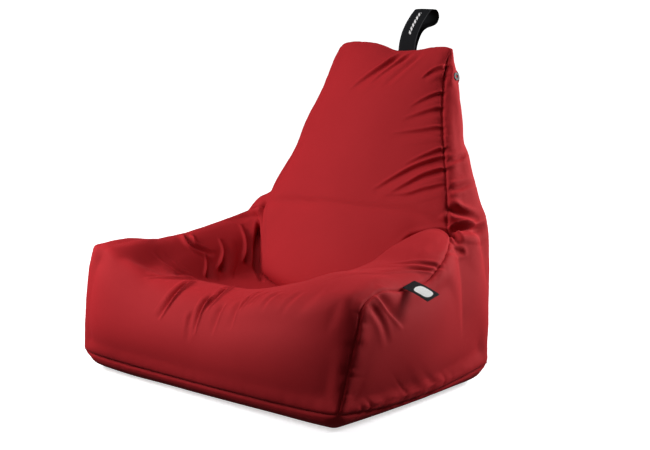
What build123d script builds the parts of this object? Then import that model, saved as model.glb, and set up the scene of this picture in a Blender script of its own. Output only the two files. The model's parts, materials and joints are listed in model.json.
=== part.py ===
"""High-back bean bag chair: sewn cover panels, inner liner, bead filling, carry handle, side label,
vent eyelets and a rear zip. Millimetres, +Z up, +Y to the rear, +X to the sitter's left. The origin is
the centre of the flat patch on which the filled bag rests."""

import math
import os

from build123d import *

os.makedirs("parts", exist_ok=True)

# ---- Outer shape of the filled bag ---------------------------------------------------------------
seat_width = 950.0  # base seam, side to side
seat_depth = 640.0  # base seam, front to rear
seam_height = 50.0  # base seam above the floor
contact_width = 800.0  # flat patch that touches the floor
contact_depth = 540.0
front_lean = 0.34  # rearward travel of the front face for each unit of height
rear_lean = 0.26  # the same for the rear face
side_lean = 0.08  # inward travel of each side face
backrest_lean = 0.454  # rearward travel of the backrest face
arm_front_height = 283.0  # top of the bag at the front face
arm_slope = 0.20  # rise of the arm tops towards the rear

# ---- Backrest: a wedge that stands in the rear of the seat block ---------------------------------
back_height = 885.0
back_top_width = 400.0
back_top_depth = 30.0
waist_height = 660.0  # where the flare of the backrest begins
waist_width = 500.0
flare_height = 400.0
flare_width = 800.0
wedge_foot_height = 110.0  # the wedge's lower end, inside the seat block
wedge_foot_width = 840.0

# ---- Seat hollow ---------------------------------------------------------------------------------
hollow_floor = 215.0
hollow_floor_width = 530.0
hollow_rim_width = 680.0
hollow_rim_height = 360.0
hollow_floor_front = -95.0  # front edge of the hollow at its floor
hollow_rim_front = -150.0  # and at its rim
hollow_reach = 50.0  # how far the hollow runs on into the wedge, which closes it

# ---- Layers --------------------------------------------------------------------------------------
cover_wall = 1.5
liner_gap = 5.0  # the liner hangs this loosely inside the cover
liner_wall = 1.0
fill_gap = 0.5
running_gap = 0.3  # clearance of what moves

# ---- Carry handle --------------------------------------------------------------------------------
strap_width = 62.0
strap_thickness = 2.6
handle_offset = 28.0  # the handle stands this far from the middle
handle_lean = 43.0  # degrees, to the rear
stem_length = 48.0  # the two legs lie together here
loop_radius = 25.0
loop_reach = 105.0  # root to the centre of the loop
anchor_width = 90.0
anchor_height = 45.0
anchor_thickness = 1.0

# ---- Side label ----------------------------------------------------------------------------------
label_width = 58.0  # along the seam
label_length = 84.0  # out from the seam
label_thickness = 1.6
label_position = -20.0  # its middle, front to rear
label_droop = 14.0  # degrees
patch_length = 58.0
patch_width = 22.0
patch_thickness = 0.4
patch_set_out = 16.0  # root of the label to the start of the patch

# ---- Vent eyelets --------------------------------------------------------------------------------
vent_height = 811.0
vent_setback = 0.60  # share of the depth there, from the backrest face
vent_bore_radius = 5.0
vent_barrel_radius = 6.2
vent_flange_radius = 12.0
vent_flange_thickness = 1.6
vent_washer_radius = 11.0
vent_washer_thickness = 1.0
vent_mesh_thickness = 0.5
vent_gap = 0.1

# ---- Rear zip ------------------------------------------------------------------------------------
zip_height = 130.0
zip_length = 560.0  # length of the coil
zip_slot_width = 9.0
zip_tape_width = 25.0
zip_tape_thickness = 0.8
coil_width = 2.2
coil_thickness = 2.1
slider_post_width = 2.0
slider_length = 13.0
slider_width = 10.5
slider_plate = 1.4
zip_stop_length = 4.0
guard_width = 64.0
guard_thickness = 0.8
guard_hem_width = 8.0

# ---- Liner mouth, closed with a hook strip on a loop strip ---------------------------------------
mouth_height = 250.0
mouth_length = 480.0
mouth_opening = 6.0
strip_width = 25.0
strip_overhang = 15.0  # the strips run past each end of the mouth
strip_thickness = 1.5

block_top = waist_height  # the seat block is lofted this high before the arm slope cuts it


def rear_face(height):
    """Distance of the rear face behind the origin at a height."""
    return seat_depth / 2 + rear_lean * (height - seam_height)


def front_face(height):
    """Position of the front face at a height."""
    return -seat_depth / 2 + front_lean * (height - seam_height)


def side_face(height):
    """Half width of the seat block at a height."""
    return seat_width / 2 - side_lean * (height - seam_height)


def arm_top(position):
    """Height of the arms at a front-to-rear position."""
    return arm_front_height + arm_slope * (position - front_face(arm_front_height))


back_top_front = rear_face(back_height) - back_top_depth



def backrest_face(height):
    """Position of the backrest face at a height."""
    return back_top_front - backrest_lean * (back_height - height)


def back_half_width(height):
    """Half width of the wedge between its waist and its top."""
    share = (height - waist_height) / (back_height - waist_height)
    return (waist_width + share * (back_top_width - waist_width)) / 2


def bag_block(side_inset, skin_inset, lift):
    """Seat block without the hollow, drawn in from its sides and from its other faces."""
    levels = [
        (lift, contact_width / 2, -contact_depth / 2, contact_depth / 2),
        (
            seam_height + lift,
            side_face(seam_height) - side_inset,
            front_face(seam_height) + skin_inset,
            rear_face(seam_height) - skin_inset,
        ),
        (
            block_top,
            side_face(block_top) - side_inset,
            front_face(block_top) + skin_inset,
            rear_face(block_top) - skin_inset,
        ),
    ]
    arm_plane = Plane(
        origin=(0, 0, arm_top(0) - skin_inset), x_dir=(1, 0, 0), z_dir=(0, -arm_slope, 1)
    )
    with BuildPart() as block:
        for height, half_width, front, rear in levels:
            with BuildSketch(Plane.XY.offset(height)):
                with Locations((0, (front + rear) / 2)):
                    Rectangle(2 * half_width, rear - front)
        loft(ruled=True)
        split(bisect_by=arm_plane, keep=Keep.BOTTOM)
    return block.part


def hollow_cut(skin_inset):
    """The space that the sitter fills, grown by the inset, with its rear under the wedge."""
    growth = (hollow_rim_front - hollow_floor_front) / (hollow_rim_height - hollow_floor)
    widening = (hollow_rim_width - hollow_floor_width) / (hollow_rim_height - hollow_floor)
    with BuildPart() as hollow:
        for height in (hollow_floor, block_top):
            rise = height - hollow_floor
            half_width = (hollow_floor_width + widening * rise) / 2 + skin_inset
            front = hollow_floor_front + growth * rise - skin_inset
            rear = backrest_face(height) + hollow_reach
            with BuildSketch(Plane.XY.offset(height - skin_inset)):
                with Locations((0, (front + rear) / 2)):
                    Rectangle(2 * half_width, rear - front)
        loft(ruled=True)
    return hollow.part


def back_wedge(side_inset, skin_inset, lift):
    """Backrest wedge, drawn in from its sides and from its other faces."""
    levels = [
        (wedge_foot_height + lift, wedge_foot_width / 2),
        (flare_height, flare_width / 2),
        (waist_height, waist_width / 2),
        (back_height - skin_inset, back_half_width(back_height - skin_inset)),
    ]
    with BuildPart() as wedge:
        for height, half_width in levels:
            front = backrest_face(height) + skin_inset
            rear = rear_face(height) - skin_inset
            with BuildSketch(Plane.XY.offset(height)):
                with Locations((0, (front + rear) / 2)):
                    Rectangle(2 * (half_width - side_inset), rear - front)
        loft(ruled=True)
    return wedge.part


def bag_shape(side_inset, skin_inset, lift):
    """The whole filled bag as one solid, drawn in evenly."""
    with BuildPart() as bag:
        add(bag_block(side_inset, skin_inset, lift))
        add(hollow_cut(skin_inset), mode=Mode.SUBTRACT)
        add(back_wedge(side_inset, skin_inset, lift))
    return bag.part


def rear_plane(height, inset=0.0):
    """Plane on the rear face at a height, its z axis outwards and its x axis along +X."""
    return Plane(
        origin=(0, rear_face(height) - inset, height), x_dir=(1, 0, 0), z_dir=(0, 1, -rear_lean)
    )


def backrest_plane(height, inset=0.0):
    """Plane on the backrest face, its z axis forwards."""
    return Plane(
        origin=(0, backrest_face(height) + inset, height),
        x_dir=(1, 0, 0),
        z_dir=(0, -1, backrest_lean),
    )


def vent_plane(side):
    """Plane on the side of the backrest at a vent, its z axis outwards. side is 1 or -1."""
    lean = (waist_width - back_top_width) / 2 / (back_height - waist_height)
    front, rear = backrest_face(vent_height), rear_face(vent_height)
    return Plane(
        origin=(side * back_half_width(vent_height), front + vent_setback * (rear - front), vent_height),
        x_dir=(0, 1, 0),
        z_dir=(side, 0, lean),
    )


def save(part, name):
    """Labels a finished piece and writes its STEP file."""
    part.label = name
    export_step(part, f"parts/{name}.step")


# ---- Cover panels: the shell between two bag shapes, cut along the seams --------------------------
outer_bag = bag_shape(0, 0, 0)
inner_bag = bag_shape(cover_wall, cover_wall, 0)
side_trimmed_bag = bag_shape(cover_wall, 0, 0)
seam_plane = Plane.XY.offset(seam_height)

with BuildPart() as base_panel:
    add(outer_bag)
    split(bisect_by=seam_plane, keep=Keep.BOTTOM)
    with Locations((0, 0, cover_wall)):
        add(outer_bag, mode=Mode.SUBTRACT)
save(base_panel.part, "base_panel")

with BuildPart() as upper_shell:
    add(outer_bag)
    add(inner_bag, mode=Mode.SUBTRACT)
    split(bisect_by=seam_plane, keep=Keep.TOP)

with BuildPart() as strip_shell:
    add(upper_shell.part)
    add(side_trimmed_bag, mode=Mode.INTERSECT)

with BuildPart() as rear_skin:
    add(strip_shell.part)
    split(bisect_by=rear_plane(zip_height, cover_wall), keep=Keep.TOP)

with BuildPart() as front_skin:
    add(strip_shell.part)
    split(bisect_by=rear_plane(zip_height, cover_wall), keep=Keep.BOTTOM)

wedge_core = back_wedge(cover_wall, 0, 0)

with BuildPart() as backrest_panel:
    add(front_skin.part)
    add(wedge_core, mode=Mode.INTERSECT)
save(backrest_panel.part, "backrest_panel")

with BuildPart() as seat_and_shoulders:
    add(front_skin.part)
    add(wedge_core, mode=Mode.SUBTRACT)

with BuildPart() as front_seat_panel:
    add(seat_and_shoulders.part)
    split(bisect_by=backrest_plane(waist_height), keep=Keep.TOP)
save(front_seat_panel.part, "front_seat_panel")

with BuildPart() as shoulders:
    add(seat_and_shoulders.part)
    split(bisect_by=backrest_plane(waist_height), keep=Keep.BOTTOM)

for side, side_name in ((1, "left"), (-1, "right")):
    with BuildPart() as side_panel:
        add(upper_shell.part)
        add(side_trimmed_bag, mode=Mode.SUBTRACT)
        add(shoulders.part)
        split(bisect_by=Plane.YZ, keep=Keep.TOP if side > 0 else Keep.BOTTOM)
        with BuildSketch(vent_plane(side)):
            Circle(vent_barrel_radius + vent_gap)
        extrude(amount=2 * cover_wall, both=True, mode=Mode.SUBTRACT)
    save(side_panel.part, f"side_panel_{side_name}")

with BuildPart() as back_panel:
    add(rear_skin.part)
    with BuildSketch(rear_plane(zip_height)):
        Rectangle(zip_length + 2 * zip_stop_length, zip_slot_width)
    extrude(amount=2 * cover_wall, both=True, mode=Mode.SUBTRACT)
save(back_panel.part, "back_panel")

# ---- Liner and filling ---------------------------------------------------------------------------
liner_inset = cover_wall + liner_gap
cavity_inset = liner_inset + liner_wall
fill_inset = cavity_inset + fill_gap

with BuildPart() as inner_liner:
    add(bag_shape(liner_inset, liner_inset, liner_inset))
    add(bag_shape(cavity_inset, cavity_inset, cavity_inset), mode=Mode.SUBTRACT)
    with BuildSketch(rear_plane(mouth_height, liner_inset)):
        Rectangle(mouth_length, mouth_opening)
    extrude(amount=2 * liner_wall, both=True, mode=Mode.SUBTRACT)
save(inner_liner.part, "inner_liner")

with BuildPart() as liner_loop_strip:
    with BuildSketch(rear_plane(mouth_height, liner_inset)):
        Rectangle(mouth_length + 2 * strip_overhang, strip_width)
    extrude(amount=strip_thickness)
save(liner_loop_strip.part, "liner_loop_strip")

with BuildPart() as liner_hook_strip:
    with BuildSketch(rear_plane(mouth_height, liner_inset).offset(strip_thickness)):
        Rectangle(mouth_length + 2 * strip_overhang, strip_width)
    extrude(amount=strip_thickness)
save(liner_hook_strip.part, "liner_hook_strip")

with BuildPart() as bead_filling:
    add(bag_shape(fill_inset, fill_inset, fill_inset))
save(bead_filling.part, "bead_filling")

# ---- Carry handle --------------------------------------------------------------------------------
handle_pivot_y = back_top_front + back_top_depth / 2
handle_pivot_z = back_height + running_gap + strap_thickness
lean = math.radians(handle_lean)
# Profile plane: its x axis runs to the rear and down, its y axis up along the leaning strap.
strap_plane = Plane(
    origin=(handle_offset, handle_pivot_y, handle_pivot_z),
    x_dir=(0, math.cos(lean), -math.sin(lean)),
    z_dir=(1, 0, 0),
)

with BuildPart() as carry_handle:
    with BuildSketch(strap_plane):
        with Locations((0, loop_reach)):
            Circle(loop_radius)
        with Locations((0, stem_length)):
            Circle(strap_thickness)
        make_hull()
        with BuildSketch(mode=Mode.PRIVATE) as loop_space:
            with Locations((0, loop_reach)):
                Circle(loop_radius - strap_thickness)
            with Locations((0, stem_length + loop_radius / 2)):
                Circle(running_gap)
            make_hull()
        add(loop_space.sketch, mode=Mode.SUBTRACT)
        with Locations((0, stem_length / 2)):
            SlotCenterToCenter(stem_length, 2 * strap_thickness, rotation=90)
    extrude(amount=strap_width / 2, both=True)
save(carry_handle.part, "carry_handle")

with BuildPart() as handle_anchor_patch:
    with BuildSketch(backrest_plane(back_height - anchor_height / 2, cover_wall)):
        with Locations((handle_offset, 0)):
            Rectangle(anchor_width, anchor_height)
    extrude(amount=-anchor_thickness)
save(handle_anchor_patch.part, "handle_anchor_patch")

# ---- Side label ----------------------------------------------------------------------------------
label_height = arm_top(label_position)
label_pivot_x = side_face(label_height) + running_gap + label_thickness
seam_angle = math.degrees(math.atan(arm_slope))
# Label frame: x out from the seam and down by the droop, y along the seam.
label_plane = Plane(
    Location((label_pivot_x, label_position, label_height))
    * Rotation(X=seam_angle)
    * Rotation(Y=label_droop)
)
label_side_plane = Plane(
    origin=label_plane.origin, x_dir=label_plane.x_dir, z_dir=label_plane.y_dir
)

with BuildPart() as side_label:
    with BuildSketch(label_plane.offset(-label_thickness / 2)):
        with Locations((label_length / 2, 0)):
            Rectangle(label_length, label_width)
    extrude(amount=label_thickness)
    with BuildSketch(label_side_plane):
        Circle(label_thickness / 2)
    extrude(amount=label_width / 2, both=True)
save(side_label.part, "side_label")

with BuildPart() as label_patch:
    with BuildSketch(label_plane.offset(label_thickness / 2)):
        with Locations((patch_set_out + patch_length / 2, 0)):
            SlotOverall(patch_length, patch_width)
    extrude(amount=patch_thickness)
save(label_patch.part, "label_patch")

# ---- Vent eyelets --------------------------------------------------------------------------------
for side, side_name in ((1, "left"), (-1, "right")):
    outside = vent_plane(side)
    washer_plane = outside.offset(-cover_wall)
    mesh_plane = washer_plane.offset(-vent_washer_thickness)
    with BuildPart() as vent_eyelet:
        with BuildSketch(outside):
            Circle(vent_flange_radius)
        extrude(amount=vent_flange_thickness)
        with BuildSketch(mesh_plane):
            Circle(vent_barrel_radius)
        extrude(amount=cover_wall + vent_washer_thickness)
        with BuildSketch(mesh_plane):
            Circle(vent_bore_radius)
        extrude(amount=cover_wall + vent_washer_thickness + vent_flange_thickness, mode=Mode.SUBTRACT)
        rim = vent_eyelet.edges().filter_by(GeomType.CIRCLE).group_by(SortBy.RADIUS)[-1]
        fillet(rim.sort_by(Axis.X)[-1 if side > 0 else 0], radius=vent_flange_thickness / 2)
    save(vent_eyelet.part, f"vent_eyelet_{side_name}")

    with BuildPart() as vent_washer:
        with BuildSketch(mesh_plane):
            Circle(vent_washer_radius)
            Circle(vent_barrel_radius + vent_gap, mode=Mode.SUBTRACT)
        extrude(amount=vent_washer_thickness)
    save(vent_washer.part, f"vent_washer_{side_name}")

    with BuildPart() as vent_mesh:
        with BuildSketch(mesh_plane):
            Circle(vent_washer_radius)
        extrude(amount=-vent_mesh_thickness)
    save(vent_mesh.part, f"vent_mesh_{side_name}")

# ---- Rear zip: x runs along the zip, y up the rear face -------------------------------------------
zip_face = rear_plane(zip_height)
tape_front = zip_face.offset(-cover_wall)
tape_rear = tape_front.offset(-zip_tape_thickness)
coil_offset = slider_post_width / 2 + running_gap

for sign, row_name in ((1, "upper"), (-1, "lower")):
    with BuildPart() as zip_tape:
        with BuildSketch(tape_rear):
            with Locations((0, sign * (coil_offset + zip_tape_width / 2))):
                Rectangle(zip_length, zip_tape_width)
        extrude(amount=zip_tape_thickness)
    save(zip_tape.part, f"zip_tape_{row_name}")

    with BuildPart() as zip_coil:
        with BuildSketch(tape_front):
            with Locations((0, sign * (coil_offset + coil_width / 2))):
                Rectangle(zip_length, coil_width)
        extrude(amount=coil_thickness)
    save(zip_coil.part, f"zip_coil_{row_name}")

with BuildPart() as zip_stops:
    with BuildSketch(tape_front):
        with Locations(
            ((zip_length + zip_stop_length) / 2, 0), (-(zip_length + zip_stop_length) / 2, 0)
        ):
            Rectangle(zip_stop_length, 2 * (coil_offset + coil_width))
    extrude(amount=coil_thickness)
save(zip_stops.part, "zip_stops")

slider_home = (zip_length - slider_length) / 2 - running_gap
coil_front = tape_front.offset(coil_thickness)
with BuildPart() as zip_slider:
    with BuildSketch(coil_front.offset(running_gap)):
        with Locations((slider_home, 0)):
            RectangleRounded(slider_length, slider_width, slider_width / 4)
    extrude(amount=slider_plate)
    with BuildSketch(tape_rear.offset(-running_gap)):
        with Locations((slider_home, 0)):
            RectangleRounded(slider_length, slider_width, slider_width / 4)
    extrude(amount=-slider_plate)
    with BuildSketch(tape_rear.offset(-running_gap)):
        with Locations((slider_home, 0)):
            Rectangle(slider_length / 2, slider_post_width)
    extrude(amount=zip_tape_thickness + coil_thickness + 2 * running_gap)
save(zip_slider.part, "zip_slider")

guard_plane = tape_rear.offset(-2 * running_gap - slider_plate)
with BuildPart() as zip_guard:
    with BuildSketch(guard_plane):
        Rectangle(zip_length, guard_width)
    extrude(amount=-guard_thickness)
    with BuildSketch(guard_plane):
        with Locations((0, coil_offset + zip_tape_width - guard_hem_width / 2)):
            Rectangle(zip_length, guard_hem_width)
    extrude(amount=2 * running_gap + slider_plate)
save(zip_guard.part, "zip_guard")
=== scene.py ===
"""High-back bean bag chair: the look of its cover, webbing, label, eyelets, zip and filling.

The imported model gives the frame: metres, +Z up, +Y to the rear, origin at the floor under the bag.
"""

from __future__ import annotations

import json
import logging
import math
from dataclasses import dataclass, field
from enum import Enum
from typing import ClassVar

import bmesh
import bpy
import numpy as np
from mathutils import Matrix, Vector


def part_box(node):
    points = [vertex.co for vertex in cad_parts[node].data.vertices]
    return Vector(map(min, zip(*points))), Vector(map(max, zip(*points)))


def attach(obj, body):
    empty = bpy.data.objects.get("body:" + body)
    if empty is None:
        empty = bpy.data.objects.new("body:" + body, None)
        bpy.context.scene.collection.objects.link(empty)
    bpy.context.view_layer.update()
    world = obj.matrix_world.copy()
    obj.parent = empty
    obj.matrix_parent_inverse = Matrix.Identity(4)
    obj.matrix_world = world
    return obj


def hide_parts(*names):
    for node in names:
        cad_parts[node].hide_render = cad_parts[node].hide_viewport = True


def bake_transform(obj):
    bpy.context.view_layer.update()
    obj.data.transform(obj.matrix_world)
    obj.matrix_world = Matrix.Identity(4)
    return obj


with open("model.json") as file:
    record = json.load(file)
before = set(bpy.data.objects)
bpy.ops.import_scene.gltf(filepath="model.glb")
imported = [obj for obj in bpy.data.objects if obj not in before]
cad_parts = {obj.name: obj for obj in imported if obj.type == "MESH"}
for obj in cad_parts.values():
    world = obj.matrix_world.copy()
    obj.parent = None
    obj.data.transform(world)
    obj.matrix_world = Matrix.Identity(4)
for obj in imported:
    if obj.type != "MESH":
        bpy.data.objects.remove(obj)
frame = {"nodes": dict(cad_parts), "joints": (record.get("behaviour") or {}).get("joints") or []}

LOG = logging.getLogger("bean_bag")
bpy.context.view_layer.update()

HEM_HEIGHT = 0.050
REAR_HEM = 0.320
REAR_LEAN = 0.26


class Panel(Enum):
    """The sewn panels of the cover, each with the number its faces carry."""

    FRONT_SEAT = 0
    BACKREST = 1
    SIDE_LEFT = 2
    SIDE_RIGHT = 3
    BACK = 4
    BASE = 5

    @property
    def node(self) -> str:
        """Name of the frame's node for the panel."""
        return {
            Panel.FRONT_SEAT: "front_seat_panel",
            Panel.BACKREST: "backrest_panel",
            Panel.SIDE_LEFT: "side_panel_left",
            Panel.SIDE_RIGHT: "side_panel_right",
            Panel.BACK: "back_panel",
            Panel.BASE: "base_panel",
        }[self]


# ---- Numbers on curves and grids -----------------------------------------------------------------


def unit(vectors: np.ndarray) -> np.ndarray:
    """Vectors along the last axis at length one."""
    return vectors / np.maximum(np.linalg.norm(vectors, axis=-1, keepdims=True), 1e-12)


def smooth_step(value: np.ndarray, low: float, high: float) -> np.ndarray:
    """Zero up to low, one from high, and three t squared less two t cubed between them."""
    t = np.clip((value - low) / (high - low), 0.0, 1.0)
    return t * t * (3.0 - 2.0 * t)


def smooth_curve(knots: np.ndarray, values: np.ndarray, at: np.ndarray) -> np.ndarray:
    """Cubic curve through the values that never swings past them.

    Each knot's slope is the weighted harmonic mean of the two slopes beside it, or zero at a turn,
    and a Hermite cubic joins the knots.

    Args:
        knots: increasing parameters, one for each value.
        values: points along axis 0.
        at: parameters to read.

    Returns:
        The curve at those parameters, along axis 0.
    """
    step = np.diff(knots)
    wide = step.reshape(-1, *([1] * (values.ndim - 1)))
    rise = np.diff(values, axis=0) / wide
    first, second = 2 * wide[1:] + wide[:-1], wide[1:] + 2 * wide[:-1]
    same_way = rise[:-1] * rise[1:] > 0
    safe = np.where(same_way, rise[:-1], 1.0), np.where(same_way, rise[1:], 1.0)
    slope = np.concatenate([rise[:1], (rise[:-1] + rise[1:]) * 0.0, rise[-1:]])
    slope[1:-1] = np.where(same_way, (first + second) / (first / safe[0] + second / safe[1]), 0.0)
    i = np.clip(np.searchsorted(knots, at, side="right") - 1, 0, len(knots) - 2)
    t = ((at - knots[i]) / step[i]).reshape(-1, *([1] * (values.ndim - 1)))
    h = wide[i]
    return (
        values[i] * (1 + 2 * t) * (1 - t) ** 2
        + values[i + 1] * t * t * (3 - 2 * t)
        + slope[i] * h * t * (1 - t) ** 2
        - slope[i + 1] * h * t * t * (1 - t)
    )


def run_length(points: np.ndarray) -> np.ndarray:
    """Distance along a line of points, starting at zero."""
    return np.concatenate([[0.0], np.cumsum(np.linalg.norm(np.diff(points, axis=0), axis=1))])


def evenly(points: np.ndarray, count: int) -> np.ndarray:
    """A line of points read again at even distances.

    Args:
        points: the line.
        count: how many steps it gets.

    Returns:
        count + 1 points.
    """
    run = run_length(points)
    at = np.linspace(0.0, run[-1], count + 1)
    return np.stack([np.interp(at, run, points[:, k]) for k in range(3)], axis=1)


def through(points: np.ndarray, count: int) -> np.ndarray:
    """A smooth line through a few points.

    Args:
        points: the points to pass through.
        count: how many even steps it gets.

    Returns:
        count + 1 points.
    """
    points = np.asarray(points, float)
    knots = run_length(points)
    dense = smooth_curve(knots, points, np.linspace(0.0, knots[-1], 12 * len(points)))
    return evenly(dense, count)


def spanned(bottom: np.ndarray, top: np.ndarray, left: np.ndarray, right: np.ndarray) -> np.ndarray:
    """A sheet stretched over four joined edges.

    Coons' rule: the two blends between opposite edges added up, less the blend of the corners.

    Args:
        bottom, top: edges that run from left to right.
        left, right: edges that run from bottom to top.

    Returns:
        Grid of points, rows from bottom to top and columns from left to right.
    """
    a = (run_length(bottom) / run_length(bottom)[-1] + run_length(top) / run_length(top)[-1]) / 2
    b = (run_length(left) / run_length(left)[-1] + run_length(right) / run_length(right)[-1]) / 2
    a, b = a[None, :, None], b[:, None, None]
    rows = (1 - b) * bottom[None] + b * top[None]
    columns = (1 - a) * left[:, None] + a * right[:, None]
    corners = (1 - a) * (1 - b) * bottom[0] + a * (1 - b) * bottom[-1]
    corners = corners + (1 - a) * b * top[0] + a * b * top[-1]
    sheet = rows + columns - corners
    sheet[0], sheet[-1], sheet[:, 0], sheet[:, -1] = bottom, top, left, right
    return sheet


def crown(rows: int, columns: int, power: float = 0.8) -> np.ndarray:
    """A pillow's rise over a grid: zero at its edges, one in the middle, by a product of arcs.

    Args:
        rows, columns: the grid's cells.
        power: below one, the rise is steeper at the edges and flatter in the middle.

    Returns:
        The rise at each point of the grid.
    """
    a = np.linspace(0.0, 1.0, columns + 1)[None, :]
    b = np.linspace(0.0, 1.0, rows + 1)[:, None]
    return (16.0 * a * (1 - a) * b * (1 - b)) ** power


def ripple(at: np.ndarray, seed: int) -> np.ndarray:
    """Smooth random wave of one parameter: random values at whole numbers, smoothly joined.

    Args:
        at: parameters to read.
        seed: picks the values.

    Returns:
        The wave there, from -1 to 1, with a turn about every unit.
    """
    rng = np.random.default_rng(seed)
    table = rng.uniform(-1.0, 1.0, 1024)
    cell = np.floor(at).astype(int)
    t = at - cell
    t = t * t * (3.0 - 2.0 * t)
    return table[cell % 1024] * (1 - t) + table[(cell + 1) % 1024] * t


def lumps(points: np.ndarray, size: float, seed: int, waves: int = 14) -> np.ndarray:
    """Smooth random relief in space, about -1 to 1: a few plane sine waves added up.

    Args:
        points: places to read, along axis 0.
        size: rough wavelength in metres.
        seed: picks the waves.
        waves: how many are added.

    Returns:
        The relief at each place.
    """
    rng = np.random.default_rng(seed)
    way = unit(rng.normal(size=(waves, 3))) * rng.uniform(0.7, 1.4, (waves, 1))
    phase = rng.uniform(0, 2 * math.pi, waves)
    turns = points @ way.T * (2 * math.pi / size) + phase
    return np.sin(turns).sum(axis=1) / math.sqrt(waves)


def rear_plane(z: np.ndarray) -> np.ndarray:
    """How far back the flat part of the rear stands at a height. It leans back as it rises."""
    return REAR_HEM + REAR_LEAN * (z - HEM_HEIGHT)


# ---- Meshes --------------------------------------------------------------------------------------


def make_mesh(
    name: str, points: np.ndarray, faces: np.ndarray, corner_uv: np.ndarray | None = None
) -> bpy.types.Mesh:
    """A mesh from arrays.

    Args:
        name: name of the mesh.
        points: vertices, one a row.
        faces: vertex numbers, all faces with the same number of corners.
        corner_uv: pattern coordinates for each corner of each face, in metres.

    Returns:
        The mesh, smooth shaded.
    """
    mesh = bpy.data.meshes.new(name)
    corners = faces.shape[1]
    mesh.vertices.add(len(points))
    mesh.vertices.foreach_set("co", np.ascontiguousarray(points, np.float32).ravel())
    mesh.loops.add(faces.size)
    mesh.loops.foreach_set("vertex_index", np.ascontiguousarray(faces, np.int32).ravel())
    mesh.polygons.add(len(faces))
    mesh.polygons.foreach_set("loop_start", np.arange(0, faces.size, corners, dtype=np.int32))
    mesh.update(calc_edges=True)
    if corner_uv is not None:
        layer = mesh.uv_layers.new(name="weave")
        layer.uv.foreach_set("vector", np.ascontiguousarray(corner_uv, np.float32).ravel())
    mesh.shade_smooth()
    return mesh


def place(name: str, mesh: bpy.types.Mesh, finish: bpy.types.Material | None = None) -> bpy.types.Object:
    """An object for a mesh, at the origin.

    Args:
        name: name of the object.
        mesh: its mesh.
        finish: its material, if it has one yet.

    Returns:
        The object, in the scene.
    """
    piece = bpy.data.objects.new(name, mesh)
    bpy.context.scene.collection.objects.link(piece)
    if finish is not None:
        mesh.materials.append(finish)
    return piece


def stand_for(piece: bpy.types.Object, node: str, body: str | None = "bag") -> None:
    """Puts a piece in the place of one of the frame's nodes.

    Args:
        piece: the piece.
        node: the node that it replaces.
        body: the body that it rides on, or None to leave it on no body.
    """
    if body is not None:
        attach(piece, body)
    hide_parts(node)


def grid_faces(rows: int, columns: int, closed: bool = False) -> np.ndarray:
    """Quads of a grid with that many cells, its points numbered row by row.

    Args:
        rows: cells up.
        columns: cells across.
        closed: whether the last column joins the first, so that a row has columns points.

    Returns:
        Four point numbers for each cell.
    """
    width = columns if closed else columns + 1
    r, c = np.meshgrid(np.arange(rows), np.arange(columns), indexing="ij")
    right = (c + 1) % width
    quads = np.stack([r * width + c, r * width + right, (r + 1) * width + right, (r + 1) * width + c])
    return quads.reshape(4, -1).T


def read_points(mesh: bpy.types.Mesh) -> np.ndarray:
    """A mesh's vertices as an array.

    Args:
        mesh: the mesh.

    Returns:
        Its points, one a row.
    """
    flat = np.empty(len(mesh.vertices) * 3, np.float32)
    mesh.vertices.foreach_get("co", flat)
    return flat.reshape(-1, 3).astype(float)


def read_normals(mesh: bpy.types.Mesh) -> np.ndarray:
    """A mesh's vertex normals as an array.

    Args:
        mesh: the mesh.

    Returns:
        Unit vectors, one a row.
    """
    flat = np.empty(len(mesh.vertices) * 3, np.float32)
    mesh.vertex_normals.foreach_get("vector", flat)
    return flat.reshape(-1, 3).astype(float)


# ---- Finishes ------------------------------------------------------------------------------------


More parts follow.
